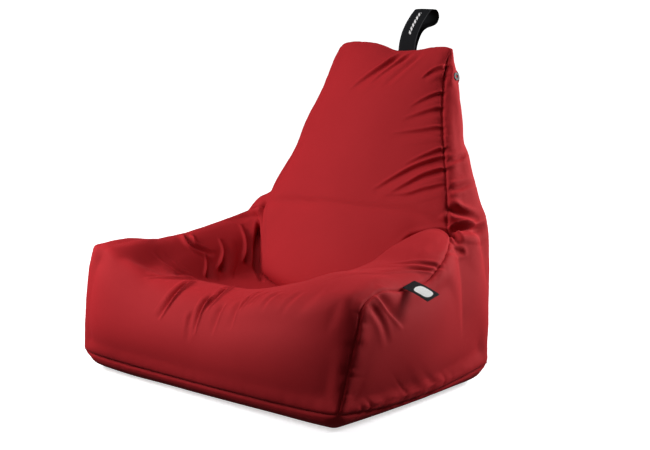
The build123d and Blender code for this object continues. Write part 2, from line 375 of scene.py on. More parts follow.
class Nodes:
    """One material's node tree, with short ways to build it."""

    def __init__(self, name: str) -> None:
        """Starts a material with a shader and an output.

        Args:
            name: name of the material.
        """
        self.material = bpy.data.materials.new(name)
        self.material.use_nodes = True
        self.tree = self.material.node_tree
        self.tree.nodes.clear()
        self.shader = self.add("ShaderNodeBsdfPrincipled")
        output = self.add("ShaderNodeOutputMaterial")
        self.link(self.shader.outputs["BSDF"], output.inputs["Surface"])

    def add(self, kind: str, **values: object) -> bpy.types.Node:
        """Adds a node.

        Args:
            kind: its Blender type.
            values: settings by attribute name, or inputs by socket name with _ for a space.

        Returns:
            The node.
        """
        node = self.tree.nodes.new(kind)
        for key, value in values.items():
            socket = key.replace("_", " ")
            if hasattr(node, key):
                setattr(node, key, value)
            else:
                node.inputs[socket].default_value = value
        return node

    def link(self, out: bpy.types.NodeSocket, into: bpy.types.NodeSocket) -> None:
        """Joins two sockets."""
        self.tree.links.new(out, into)

    def math(self, kind: str, a: object, b: object = 0.0) -> bpy.types.NodeSocket:
        """A sum on two sockets or numbers.

        Args:
            kind: the operation, such as ADD or MULTIPLY.
            a, b: what it works on.

        Returns:
            The socket with the result.
        """
        node = self.add("ShaderNodeMath", operation=kind)
        for slot, value in enumerate((a, b)):
            if isinstance(value, bpy.types.NodeSocket):
                self.link(value, node.inputs[slot])
            else:
                node.inputs[slot].default_value = value
        return node.outputs[0]

    def mix(self, share: bpy.types.NodeSocket, low: object, high: object) -> bpy.types.NodeSocket:
        """Two colours mixed by a socket.

        Args:
            share: the share of the second colour.
            low, high: the two, each a colour or a socket.

        Returns:
            The socket with the mixed colour.
        """
        node = self.add("ShaderNodeMix", data_type="RGBA")
        self.link(share, node.inputs["Factor"])
        for name, value in (("A", low), ("B", high)):
            if isinstance(value, bpy.types.NodeSocket):
                self.link(value, node.inputs[name])
            else:
                node.inputs[name].default_value = (*value, 1.0)
        return node.outputs["Result"]

    def surface(self, **values: object) -> None:
        """Sets plain inputs of the shader, by socket name with _ for a space."""
        for key, value in values.items():
            self.shader.inputs[key.replace("_", " ")].default_value = value

    def bump(self, height: bpy.types.NodeSocket, strength: float, distance: float) -> None:
        """Puts a height on the shader's normal.

        Args:
            height: the socket with the height, about 0 to 1.
            strength: how much of it counts.
            distance: metres that a height of one stands for.
        """
        node = self.add("ShaderNodeBump", Strength=strength, Distance=distance)
        self.link(height, node.inputs["Height"])
        self.link(node.outputs["Normal"], self.shader.inputs["Normal"])


@dataclass(frozen=True)
class PolyesterCloth:
    """Matt woven polyester: a fine plain weave with a slight heather."""

    name: str = "red_polyester"
    deep: tuple[float, float, float] = (0.330, 0.010, 0.014)
    bright: tuple[float, float, float] = (0.450, 0.018, 0.024)
    thread: float = 0.0011
    roughness: float = 0.72
    gloss: float = 0.10
    sheen: float = 0.035
    sheen_tint: tuple[float, float, float] = (1.0, 0.30, 0.33)

    def material(self) -> bpy.types.Material:
        """Builds the finish: thread waves on the weave map, and colour flecks in space.

        Returns:
            The material.
        """
        n = Nodes(self.name)
        weave = n.add("ShaderNodeUVMap", uv_map="weave")
        parts = n.add("ShaderNodeSeparateXYZ")
        n.link(weave.outputs["UV"], parts.inputs[0])
        turns = 2 * math.pi / self.thread
        across = n.math("SINE", n.math("MULTIPLY", parts.outputs[0], turns))
        along = n.math("SINE", n.math("MULTIPLY", parts.outputs[1], turns))
        threads = n.math("MULTIPLY", across, along)
        where = n.add("ShaderNodeTexCoord").outputs["Object"]
        fleck = n.add("ShaderNodeTexNoise", Scale=620.0, Detail=2.0, Roughness=0.6)
        cloud = n.add("ShaderNodeTexNoise", Scale=9.0, Detail=3.0, Roughness=0.5)
        for texture in (fleck, cloud):
            n.link(where, texture.inputs["Vector"])
        flecks = n.math("MULTIPLY", fleck.outputs["Fac"], 0.75)
        share = n.math("ADD", flecks, n.math("MULTIPLY", cloud.outputs["Fac"], 0.25))
        n.link(n.mix(share, self.deep, self.bright), n.shader.inputs["Base Color"])
        n.surface(Roughness=self.roughness, Specular_IOR_Level=self.gloss)
        n.surface(Sheen_Weight=self.sheen, Sheen_Roughness=0.4, Sheen_Tint=(*self.sheen_tint, 1.0))
        height = n.math("ADD", n.math("MULTIPLY", threads, 0.5), fleck.outputs["Fac"])
        n.bump(height, 0.35, 0.0003)
        return n.material


@dataclass(frozen=True)
class LinerCloth:
    """Thin pale non-woven lining."""

    name: str = "liner_nonwoven"
    color: tuple[float, float, float] = (0.72, 0.71, 0.68)

    def material(self) -> bpy.types.Material:
        """Builds the finish: a mottle of pressed fibres.

        Returns:
            The material.
        """
        n = Nodes(self.name)
        fibre = n.add("ShaderNodeTexNoise", Scale=260.0, Detail=4.0, Roughness=0.7)
        n.link(n.add("ShaderNodeTexCoord").outputs["Object"], fibre.inputs["Vector"])
        low = tuple(0.86 * c for c in self.color)
        n.link(n.mix(fibre.outputs["Fac"], low, self.color), n.shader.inputs["Base Color"])
        n.surface(Roughness=0.9)
        n.bump(fibre.outputs["Fac"], 0.3, 0.0004)
        return n.material


@dataclass(frozen=True)
class BeadFill:
    """White foam beads pressed together."""

    name: str = "foam_beads"
    bead: float = 0.004
    middle: tuple[float, float, float] = (0.94, 0.94, 0.93)
    # gap is painted shade: the darker colour given to the crevices between the beads.
    gap: tuple[float, float, float] = (0.70, 0.70, 0.69)

    def material(self) -> bpy.types.Material:
        """Builds the finish: rounded cells a bead wide, paler in the middle, with painted shade darkening them
        towards the gaps between them.

        Returns:
            The material.
        """
        n = Nodes(self.name)
        cell = n.add("ShaderNodeTexVoronoi", Scale=1.0 / self.bead)
        n.link(n.add("ShaderNodeTexCoord").outputs["Object"], cell.inputs["Vector"])
        # Painted shade: the colour darkens from each bead's middle towards the gaps between beads.
        n.link(n.mix(cell.outputs["Distance"], self.middle, self.gap), n.shader.inputs["Base Color"])
        n.surface(Roughness=0.6)
        n.bump(n.math("SUBTRACT", 1.0, cell.outputs["Distance"]), 0.8, 0.0015)
        return n.material


class Grain(Enum):
    """How a small part's surface is broken up."""

    FIBRE = "fibre"
    TWILL = "twill"
    NET = "net"


@dataclass(frozen=True)
class SmallFinish:
    """Finish of a small part: two shades broken up by a grain of a given size, with a little bump."""

    name: str
    dark: tuple[float, float, float]
    light: tuple[float, float, float]
    grain: Grain = Grain.FIBRE
    size: float = 0.001
    roughness: float = 0.6
    metallic: float = 0.0
    gloss: float = 0.25
    bump: float = 0.3

    def material(self) -> bpy.types.Material:
        """Builds the finish in space coordinates.

        A fibre grain is noise, a twill a sine of the three coordinates added up, and a net the
        larger of two crossed sines.

        Returns:
            The material.
        """
        n = Nodes(self.name)
        where = n.add("ShaderNodeTexCoord").outputs["Object"]
        noise = n.add("ShaderNodeTexNoise", Scale=1.0 / self.size, Detail=3.0, Roughness=0.6)
        n.link(where, noise.inputs["Vector"])
        height = noise.outputs["Fac"]
        if self.grain is not Grain.FIBRE:
            parts = n.add("ShaderNodeSeparateXYZ")
            n.link(where, parts.inputs[0])
            turns = 2 * math.pi / self.size
            flat = n.math("ADD", parts.outputs[0], parts.outputs[1])
            one = n.math("SINE", n.math("MULTIPLY", n.math("ADD", flat, parts.outputs[2]), turns))
            two = n.math("SINE", n.math("MULTIPLY", n.math("SUBTRACT", flat, parts.outputs[2]), turns))
            wave = n.math("MAXIMUM", one, two) if self.grain is Grain.NET else one
            height = n.math("ADD", n.math("MULTIPLY", wave, 0.4), n.math("MULTIPLY", height, 0.6))
        n.link(n.mix(height, self.dark, self.light), n.shader.inputs["Base Color"])
        n.surface(Roughness=self.roughness, Metallic=self.metallic, Specular_IOR_Level=self.gloss)
        n.bump(height, self.bump, 0.3 * self.size)
        return n.material


BLACK_LACQUER = SmallFinish(
    "black_lacquer", (0.006, 0.006, 0.007), (0.022, 0.022, 0.024), size=0.002, roughness=0.5,
    gloss=0.2, bump=0.1,
)
FINE_NET = SmallFinish("fine_net", (0.004, 0.004, 0.004), (0.040, 0.040, 0.040), Grain.NET, 0.0009, 0.8)
ZIP_TAPE = SmallFinish("red_zip_tape", (0.20, 0.010, 0.014), (0.33, 0.018, 0.024), Grain.TWILL, 0.0012, 0.8)
ZIP_NYLON = SmallFinish(
    "red_nylon", (0.22, 0.012, 0.016), (0.32, 0.022, 0.028), size=0.0015, roughness=0.35, gloss=0.5, bump=0.1
)
DARK_NICKEL = SmallFinish(
    "dark_nickel", (0.30, 0.29, 0.27), (0.46, 0.45, 0.43), size=0.0012, roughness=0.32,
    metallic=1.0, bump=0.12,
)
GRIP_TAPE = SmallFinish(
    "hook_and_loop", (0.58, 0.58, 0.56), (0.84, 0.84, 0.82), size=0.0007, roughness=0.95, bump=0.9
)
WHITE_WEAVE = SmallFinish("white_weave", (0.70, 0.70, 0.69), (0.90, 0.90, 0.89), Grain.TWILL, 0.0008, 0.7)
SATIN_LABEL = SmallFinish(
    "black_satin", (0.008, 0.007, 0.008), (0.030, 0.027, 0.030), Grain.TWILL, 0.0008, 0.7, gloss=0.08
)


@dataclass(frozen=True)
class Webbing:
    """Black woven strap with ribs across it, a paler line by each edge and a row of white dashes."""

    name: str = "black_webbing"
    dark: tuple[float, float, float] = (0.006, 0.006, 0.007)
    light: tuple[float, float, float] = (0.017, 0.018, 0.020)
    edge: tuple[float, float, float] = (0.055, 0.056, 0.060)
    thread: tuple[float, float, float] = (0.82, 0.80, 0.80)
    rib: float = 0.0016
    chevron_turns: float = 4000.0
    edge_at: float = 0.0285
    edge_half: float = 0.0009
    dash_pitch: float = 0.0125
    dash_share: float = 0.66
    dash_half: float = 0.0042
    dashes_from: float = 0.062
    dashes_to: float = 0.137

    def material(self) -> bpy.types.Material:
        """Builds the finish on the strap's own map: across it and along it, in metres.

        Dashes are where the run along the strap, less its whole pitches, is under two thirds of a
        pitch, close to the middle line.

        Returns:
            The material.
        """
        n = Nodes(self.name)
        weave = n.add("ShaderNodeUVMap", uv_map="weave")
        parts = n.add("ShaderNodeSeparateXYZ")
        n.link(weave.outputs["UV"], parts.inputs[0])
        across, along = parts.outputs[0], parts.outputs[1]
        ribs = n.math("SINE", n.math("MULTIPLY", along, 2 * math.pi / self.rib))
        slanting = n.math("ADD", along, n.math("ABSOLUTE", across))
        chevron = n.math("SINE", n.math("MULTIPLY", slanting, self.chevron_turns))
        height = n.math("ADD", n.math("MULTIPLY", ribs, 0.3), n.math("MULTIPLY", chevron, 0.2))
        cloth = n.mix(n.math("ADD", height, 0.5), self.dark, self.light)
        off_edge = n.math("ABSOLUTE", n.math("SUBTRACT", n.math("ABSOLUTE", across), self.edge_at))
        line = n.math("LESS_THAN", off_edge, self.edge_half)
        share = n.math("FRACT", n.math("DIVIDE", n.math("ADD", along, across), self.dash_pitch))
        dash = n.math("LESS_THAN", share, self.dash_share)
        for test in (
            n.math("LESS_THAN", n.math("ABSOLUTE", across), self.dash_half),
            n.math("GREATER_THAN", along, self.dashes_from),
            n.math("LESS_THAN", along, self.dashes_to),
        ):
            dash = n.math("MULTIPLY", dash, test)
        cloth = n.mix(dash, n.mix(line, cloth, self.edge), self.thread)
        n.link(cloth, n.shader.inputs["Base Color"])
        n.surface(Roughness=0.9, Specular_IOR_Level=0.08)
        n.bump(height, 0.5, 0.0004)
        return n.material


# ---- The cover -----------------------------------------------------------------------------------

LINE_DEPTH = 0.035
PAIRS_AT_ONCE = 3_000_000


def nearest_on(
    line: np.ndarray, points: np.ndarray, normals: np.ndarray, reach: float
) -> tuple[np.ndarray, np.ndarray, np.ndarray]:
    """Where points of a surface lie along a line drawn on it or close above or below it.

    The distance is taken along the surface: the part of it along the point's normal is left out.

    Args:
        line: points of the line, close together.
        points: places to look at.
        normals: the surface's direction at each.
        reach: places further away than this are left out.

    Returns:
        Numbers of the near points, their distance from the line, less than zero on its right as
        seen from outside, and how far along it they are.
    """
    low, high = line.min(axis=0) - reach - LINE_DEPTH, line.max(axis=0) + reach + LINE_DEPTH
    near = np.flatnonzero(((points > low) & (points < high)).all(axis=1))
    gap, run = np.empty(len(near)), np.empty(len(near))
    along, forward = run_length(line), unit(np.gradient(line, axis=0))
    for chunk in np.array_split(np.arange(len(near)), len(near) * len(line) // PAIRS_AT_ONCE + 1):
        away = points[near[chunk], None] - line[None]
        off = (away * normals[near[chunk], None]).sum(axis=2)
        apart = np.sqrt(np.maximum((away**2).sum(axis=2) - off**2, 0.0))
        apart = apart + np.where(np.abs(off) > LINE_DEPTH, 1.0, 0.0)
        closest = apart.argmin(axis=1)
        own = np.arange(len(chunk))
        left = np.cross(normals[near[chunk]], forward[closest])
        side = np.where((left * away[own, closest]).sum(axis=1) < 0, -1.0, 1.0)
        gap[chunk], run[chunk] = side * apart[own, closest], along[closest]
    close = np.abs(gap) < reach
    return near[close], gap[close], run[close]


class Overlap(Enum):
    """Which side of a crease lies over the other, as seen from outside along its line."""

    NONE = 0
    LEFT = 1
    RIGHT = -1


@dataclass(frozen=True)
class Fold:
    """A crease in the cloth along a line of points: a furrow with a raised lip.

    The line starts at the crease's thin end. Where one side lies over the other, the furrow falls
    steeply on that side, which carries the lip, and slopes up gently on the other.
    """

    line: tuple[tuple[float, float, float], ...]
    depth: float
    width: float
    lip: float = 0.4
    overlap: Overlap = Overlap.NONE

    SAMPLES: ClassVar[int] = 120
    REACH: ClassVar[float] = 4.5
    GENTLE: ClassVar[float] = 1.7
    STEEP: ClassVar[float] = 0.55
    LIP_AT: ClassVar[float] = 1.9
    SOFT_LIP: ClassVar[float] = 0.25
    GROWTH: ClassVar[float] = 0.8
    FADE_FROM: ClassVar[float] = 0.72
    GAIN: ClassVar[float] = 1.5

    def relief(self, points: np.ndarray, normals: np.ndarray) -> np.ndarray:
        """Height to add at each point.

        The furrow is a bell curve of the distance from the line and the lip another beside it. Both
        grow as a power of the run from the thin end, and die away over the last quarter.

        Args:
            points: the cover's points.
            normals: the cover's direction at each.

        Returns:
            The heights.
        """
        line = through(np.array(self.line), self.SAMPLES)
        near, gap, run = nearest_on(line, points, normals, self.REACH * self.width)
        share = np.clip(run / run_length(line)[-1], 0.0, 1.0)
        fade = share**self.GROWTH * (1.0 - smooth_step(share, self.FADE_FROM, 1.0)) * self.GAIN
        wide = np.full(len(gap), self.width)
        lip = self.lip
        if self.overlap is not Overlap.NONE:
            under = gap * self.overlap.value < 0
            wide = np.where(under, self.GENTLE * self.width, self.STEEP * self.width)
            lip = np.where(under, self.SOFT_LIP * self.lip, self.lip)
        gap = np.abs(gap)
        furrow = np.exp(-((gap / wide) ** 2))
        edge = np.exp(-(((gap - self.LIP_AT * wide) / wide) ** 2))
        height = np.zeros(len(points))
        height[near] = self.depth * fade * (lip * edge - furrow)
        return height


@dataclass(frozen=True)
class Gathers:
    """Short wrinkles that run off a stretch of seam into one panel.

    spacing is from one wrinkle to the next and length how far they reach. slant turns them: each
    metre away from the seam moves them that many metres along it.
    """

    panel: Panel
    seam: tuple[tuple[float, float, float], ...]
    depth: float
    spacing: float
    length: float
    slant: float = 0.0
    seed: int = 1

    SAMPLES: ClassVar[int] = 500
    REACH: ClassVar[float] = 3.0
    OFFSET: ClassVar[float] = 40.0

    def relief(self, points: np.ndarray, normals: np.ndarray, mine: np.ndarray) -> np.ndarray:
        """Height to add at each point of the panel.

        A random wave of the run along the seam gives sharp valleys where it crosses zero. It
        starts at the seam and dies away with distance, further off for some wrinkles than others.

        Args:
            points: all the cover's points.
            normals: the cover's direction at each.
            mine: which of them are on the panel.

        Returns:
            The heights.
        """
        line = through(np.array(self.seam), self.SAMPLES)
        near, gap, run = nearest_on(line, points, normals, self.REACH * self.length)
        keep = mine[near]
        near, gap, run = near[keep], np.abs(gap[keep]), run[keep]
        fade = np.sin(math.pi * np.clip(run / run_length(line)[-1], 0.0, 1.0)) ** 0.5
        at = (run + self.slant * gap) / self.spacing
        wave = np.abs(ripple(at + self.OFFSET, self.seed)) ** 0.7 * 1.6 - 0.8
        length = self.length * (0.55 + 0.45 * ripple(at / 2.0 + self.OFFSET, self.seed + 1))
        strength = 0.65 + 0.35 * ripple(at / 3.0 + self.OFFSET, self.seed + 2)
        envelope = np.minimum(gap / 0.006, 1.0) * np.exp(-((gap / length) ** 1.4))
        height = np.zeros(len(points))
        height[near] = self.depth * strength * fade * envelope * wave
        return height


# Seams that wrinkles run off, as rough lines: near is the +X side.
NEAR_BACK_EDGE = (
    (0.327, 0.315, 0.462), (0.289, 0.357, 0.550), (0.246, 0.400, 0.650),
    (0.209, 0.446, 0.750), (0.189, 0.491, 0.850),
)
NEAR_FRONT_EDGE = (
    (0.475, -0.317, 0.050), (0.475, -0.290, 0.130), (0.475, -0.253, 0.225),
    (0.464, -0.205, 0.312),
)
NEAR_ARM_EDGE = (
    (0.458, -0.130, 0.331), (0.455, -0.040, 0.316), (0.450, 0.050, 0.319),
    (0.438, 0.140, 0.352), (0.385, 0.262, 0.394),
)
FAR_BACK_EDGE = (
    (-0.324, 0.318, 0.462), (-0.294, 0.365, 0.550), (-0.267, 0.396, 0.650),
    (-0.238, 0.438, 0.750), (-0.224, 0.481, 0.850),
)
FAR_FRONT_EDGE = (
    (-0.475, -0.317, 0.050), (-0.475, -0.308, 0.130), (-0.473, -0.298, 0.235),
    (-0.464, -0.282, 0.350),
)
NEAR_HEM = ((0.475, -0.317, 0.050), (0.475, 0.000, 0.050), (0.474, 0.317, 0.050))
REAR_HEM_EDGE = ((-0.474, 0.317, 0.050), (0.0, 0.317, 0.050), (0.474, 0.317, 0.050))
NEAR_REAR_EDGE = ((0.385, 0.422, 0.442), (0.309, 0.454, 0.560), (0.249, 0.485, 0.690), (0.184, 0.523, 0.876))
FAR_REAR_EDGE = (
    (-0.385, 0.422, 0.442), (-0.309, 0.454, 0.560), (-0.249, 0.485, 0.690),
    (-0.184, 0.523, 0.876),
)


@dataclass
class BagCover:
    """The sewn cover, filled: one closed skin cut along its seams into panels.

    A long strip runs from the front hem over the seat and up the backrest. Two sides, a back and a
    base close it. The strip's net has a row of points at each station: at the side seam, on the
    arm, at the arm's inner rim, at the foot of the hollow's wall and in the middle. The two arms
    have settled differently, so each has its own half of the net.
    """

    cells_across: int = 80
    cells_front: int = 22
    cells_arm: int = 46
    cells_back: int = 54
    cells_depth: int = 10
    subdivisions: int = 2
    contact_slope: float = 0.050
    near_side_crown: float = 0.026
    far_side_crown: float = 0.008
    gusset_crown: float = 0.012
    back_crown: float = 0.020
    seam_pillow: float = 0.007
    pillow_reach: float = 0.016
    groove_depth: float = 0.0045
    groove_half: float = 0.0038
    stitch_ripple: float = 0.0009
    lump_rise: float = 0.0010
    lump_size: float = 0.20
    eyelet_radius: float = 0.012
    eyelet_pull: tuple[float, float] = (0.011, 0.045)
    eyelet_off: float = 0.0002
    zip_pull_up: tuple[float, float] = (0.022, 0.075)
    zip_pull_across: tuple[float, float] = (0.300, 0.390)
    zip_slot_up: tuple[float, float] = (0.0035, 0.0060)
    zip_slot_across: tuple[float, float] = (0.281, 0.287)
    zip_slot_depth: float = 0.0045
    waist_height: float = 0.660
    waist_width: float = 0.500
    top_height: float = 0.885
    top_width: float = 0.400
    brow_row: int = 3
    foot_row: int = 8
    near_half: tuple = (
        ((0.475, -0.317, 0.050), (0.42, -0.324, 0.047), (0.32, -0.328, 0.045), (0.24, -0.329, 0.044)),
        ((0.475, -0.290, 0.130), (0.42, -0.314, 0.130), (0.33, -0.334, 0.130), (0.24, -0.342, 0.130)),
        ((0.475, -0.253, 0.225), (0.42, -0.282, 0.228), (0.33, -0.308, 0.228), (0.23, -0.316, 0.220)),
        ((0.464, -0.205, 0.312), (0.42, -0.225, 0.325), (0.33, -0.240, 0.316), (0.22, -0.235, 0.296)),
        ((0.458, -0.130, 0.331), (0.40, -0.110, 0.345), (0.30, -0.110, 0.338), (0.19, -0.140, 0.300)),
        ((0.455, -0.040, 0.316), (0.40, -0.030, 0.341), (0.29, -0.035, 0.333), (0.235, -0.060, 0.290)),
        ((0.450, 0.050, 0.319), (0.395, 0.055, 0.345), (0.285, 0.050, 0.340), (0.225, 0.030, 0.262)),
        ((0.438, 0.140, 0.352), (0.375, 0.145, 0.376), (0.275, 0.145, 0.366), (0.225, 0.130, 0.280)),
        ((0.380, 0.258, 0.398), (0.342, 0.272, 0.404), (0.290, 0.262, 0.392), (0.238, 0.235, 0.330)),
        ((0.350, 0.286, 0.408), (0.326, 0.290, 0.400), (0.275, 0.284, 0.380), (0.215, 0.230, 0.285)),
        ((0.327, 0.315, 0.462), (0.286, 0.308, 0.458), (0.225, 0.300, 0.450), (0.165, 0.292, 0.445)),
        ((0.289, 0.357, 0.550), (0.256, 0.350, 0.550), (0.200, 0.342, 0.550), (0.140, 0.335, 0.550)),
        ((0.246, 0.400, 0.650), (0.220, 0.389, 0.650), (0.170, 0.379, 0.650), (0.118, 0.372, 0.650)),
        ((0.209, 0.446, 0.750), (0.188, 0.433, 0.750), (0.146, 0.422, 0.750), (0.100, 0.415, 0.750)),
        ((0.189, 0.491, 0.850), (0.170, 0.478, 0.848), (0.132, 0.468, 0.845), (0.092, 0.463, 0.840)),
        ((0.192, 0.508, 0.886), (0.168, 0.507, 0.888), (0.125, 0.507, 0.885), (0.085, 0.507, 0.877)),
    )
    middle: tuple = (
        (0, -0.330, 0.043), (0, -0.340, 0.125), (0, -0.310, 0.200), (0, -0.232, 0.252), (0, -0.168, 0.262),
        (0, -0.115, 0.215), (0, -0.020, 0.175), (0, 0.080, 0.165), (0, 0.180, 0.165), (0, 0.180, 0.205),
        (0, 0.278, 0.440), (0, 0.326, 0.550), (0, 0.366, 0.650), (0, 0.411, 0.750), (0, 0.459, 0.832),
        (0, 0.507, 0.867),
    )
    far_half: tuple = (
        ((-0.475, -0.317, 0.050), (-0.42, -0.324, 0.047), (-0.32, -0.328, 0.045), (-0.24, -0.329, 0.044)),
        ((-0.475, -0.308, 0.130), (-0.42, -0.338, 0.130), (-0.33, -0.345, 0.130), (-0.24, -0.344, 0.130)),
        ((-0.473, -0.298, 0.235), (-0.42, -0.326, 0.235), (-0.33, -0.328, 0.228), (-0.24, -0.318, 0.218)),
        ((-0.462, -0.276, 0.351), (-0.41, -0.292, 0.340), (-0.33, -0.268, 0.302), (-0.24, -0.247, 0.268)),
        ((-0.456, -0.170, 0.356), (-0.41, -0.175, 0.340), (-0.335, -0.180, 0.272), (-0.23, -0.173, 0.262)),
        ((-0.452, -0.040, 0.335), (-0.42, -0.060, 0.328), (-0.355, -0.080, 0.280), (-0.27, -0.105, 0.228)),
        ((-0.450, 0.050, 0.338), (-0.425, 0.045, 0.333), (-0.360, 0.035, 0.285), (-0.285, 0.000, 0.210)),
        ((-0.446, 0.140, 0.350), (-0.425, 0.145, 0.342), (-0.368, 0.145, 0.300), (-0.300, 0.120, 0.205)),
        ((-0.392, 0.280, 0.390), (-0.365, 0.300, 0.365), (-0.340, 0.288, 0.315), (-0.305, 0.250, 0.205)),
        ((-0.338, 0.294, 0.410), (-0.320, 0.280, 0.375), (-0.298, 0.248, 0.305), (-0.262, 0.210, 0.225)),
        ((-0.324, 0.318, 0.462), (-0.286, 0.308, 0.458), (-0.225, 0.300, 0.450), (-0.165, 0.292, 0.445)),
        ((-0.294, 0.365, 0.550), (-0.260, 0.352, 0.550), (-0.200, 0.342, 0.550), (-0.140, 0.335, 0.550)),
        ((-0.267, 0.396, 0.650), (-0.237, 0.386, 0.650), (-0.182, 0.378, 0.650), (-0.125, 0.372, 0.650)),
        ((-0.238, 0.438, 0.750), (-0.211, 0.428, 0.750), (-0.162, 0.420, 0.750), (-0.110, 0.415, 0.750)),
        ((-0.224, 0.481, 0.850), (-0.200, 0.474, 0.850), (-0.155, 0.468, 0.850), (-0.102, 0.464, 0.848)),
        ((-0.222, 0.507, 0.878), (-0.195, 0.507, 0.886), (-0.150, 0.507, 0.890), (-0.095, 0.507, 0.887)),
    )
    rear_seam: tuple = (
        (0.474, 0.317, 0.050), (0.462, 0.330, 0.105), (0.452, 0.345, 0.148), (0.440, 0.362, 0.211),
        (0.430, 0.378, 0.274), (0.417, 0.395, 0.338), (0.402, 0.411, 0.400), (0.385, 0.422, 0.442),
    )
    rear_seam_upper: tuple = (
        (0.385, 0.422, 0.442), (0.362, 0.431, 0.470), (0.338, 0.441, 0.510), (0.309, 0.454, 0.560),
        (0.287, 0.464, 0.604), (0.262, 0.472, 0.640), (0.249, 0.485, 0.690), (0.232, 0.497, 0.745),
        (0.213, 0.512, 0.800), (0.194, 0.520, 0.845), (0.184, 0.523, 0.876),
    )
    shoulder: tuple[float, float, float] = (0.392, 0.340, 0.422)
    top_seam: tuple = (
        (-0.220, 0.521, 0.876), (-0.200, 0.521, 0.886), (-0.160, 0.521, 0.890), (-0.110, 0.521, 0.889),
        (-0.060, 0.521, 0.882), (-0.022, 0.521, 0.871), (0.000, 0.521, 0.869), (0.030, 0.521, 0.871),
        (0.058, 0.521, 0.872), (0.085, 0.521, 0.877), (0.130, 0.521, 0.885), (0.165, 0.521, 0.887),
        (0.182, 0.523, 0.884),
    )
    crevices: tuple[Fold, ...] = (
        Fold(
            (
                (0.200, 0.215, 0.300), (0.238, 0.268, 0.374), (0.293, 0.281, 0.392),
                (0.342, 0.286, 0.402), (0.400, 0.270, 0.404), (0.430, 0.250, 0.390),
            ),
            0.026, 0.0085, 0.1,
        ),
        Fold(
            (
                (-0.240, 0.160, 0.160), (-0.268, 0.195, 0.205), (-0.300, 0.232, 0.270),
                (-0.326, 0.266, 0.345), (-0.345, 0.290, 0.405), (-0.352, 0.310, 0.450),
            ),
            0.026, 0.0085, 0.1,
        ),
        Fold(
            (
                (-0.200, 0.135, 0.170), (-0.100, 0.165, 0.178), (0.000, 0.178, 0.182),
                (0.100, 0.175, 0.190), (0.200, 0.170, 0.215), (0.232, 0.190, 0.262),
            ),
            0.012, 0.0100, 0.2,
        ),
    )
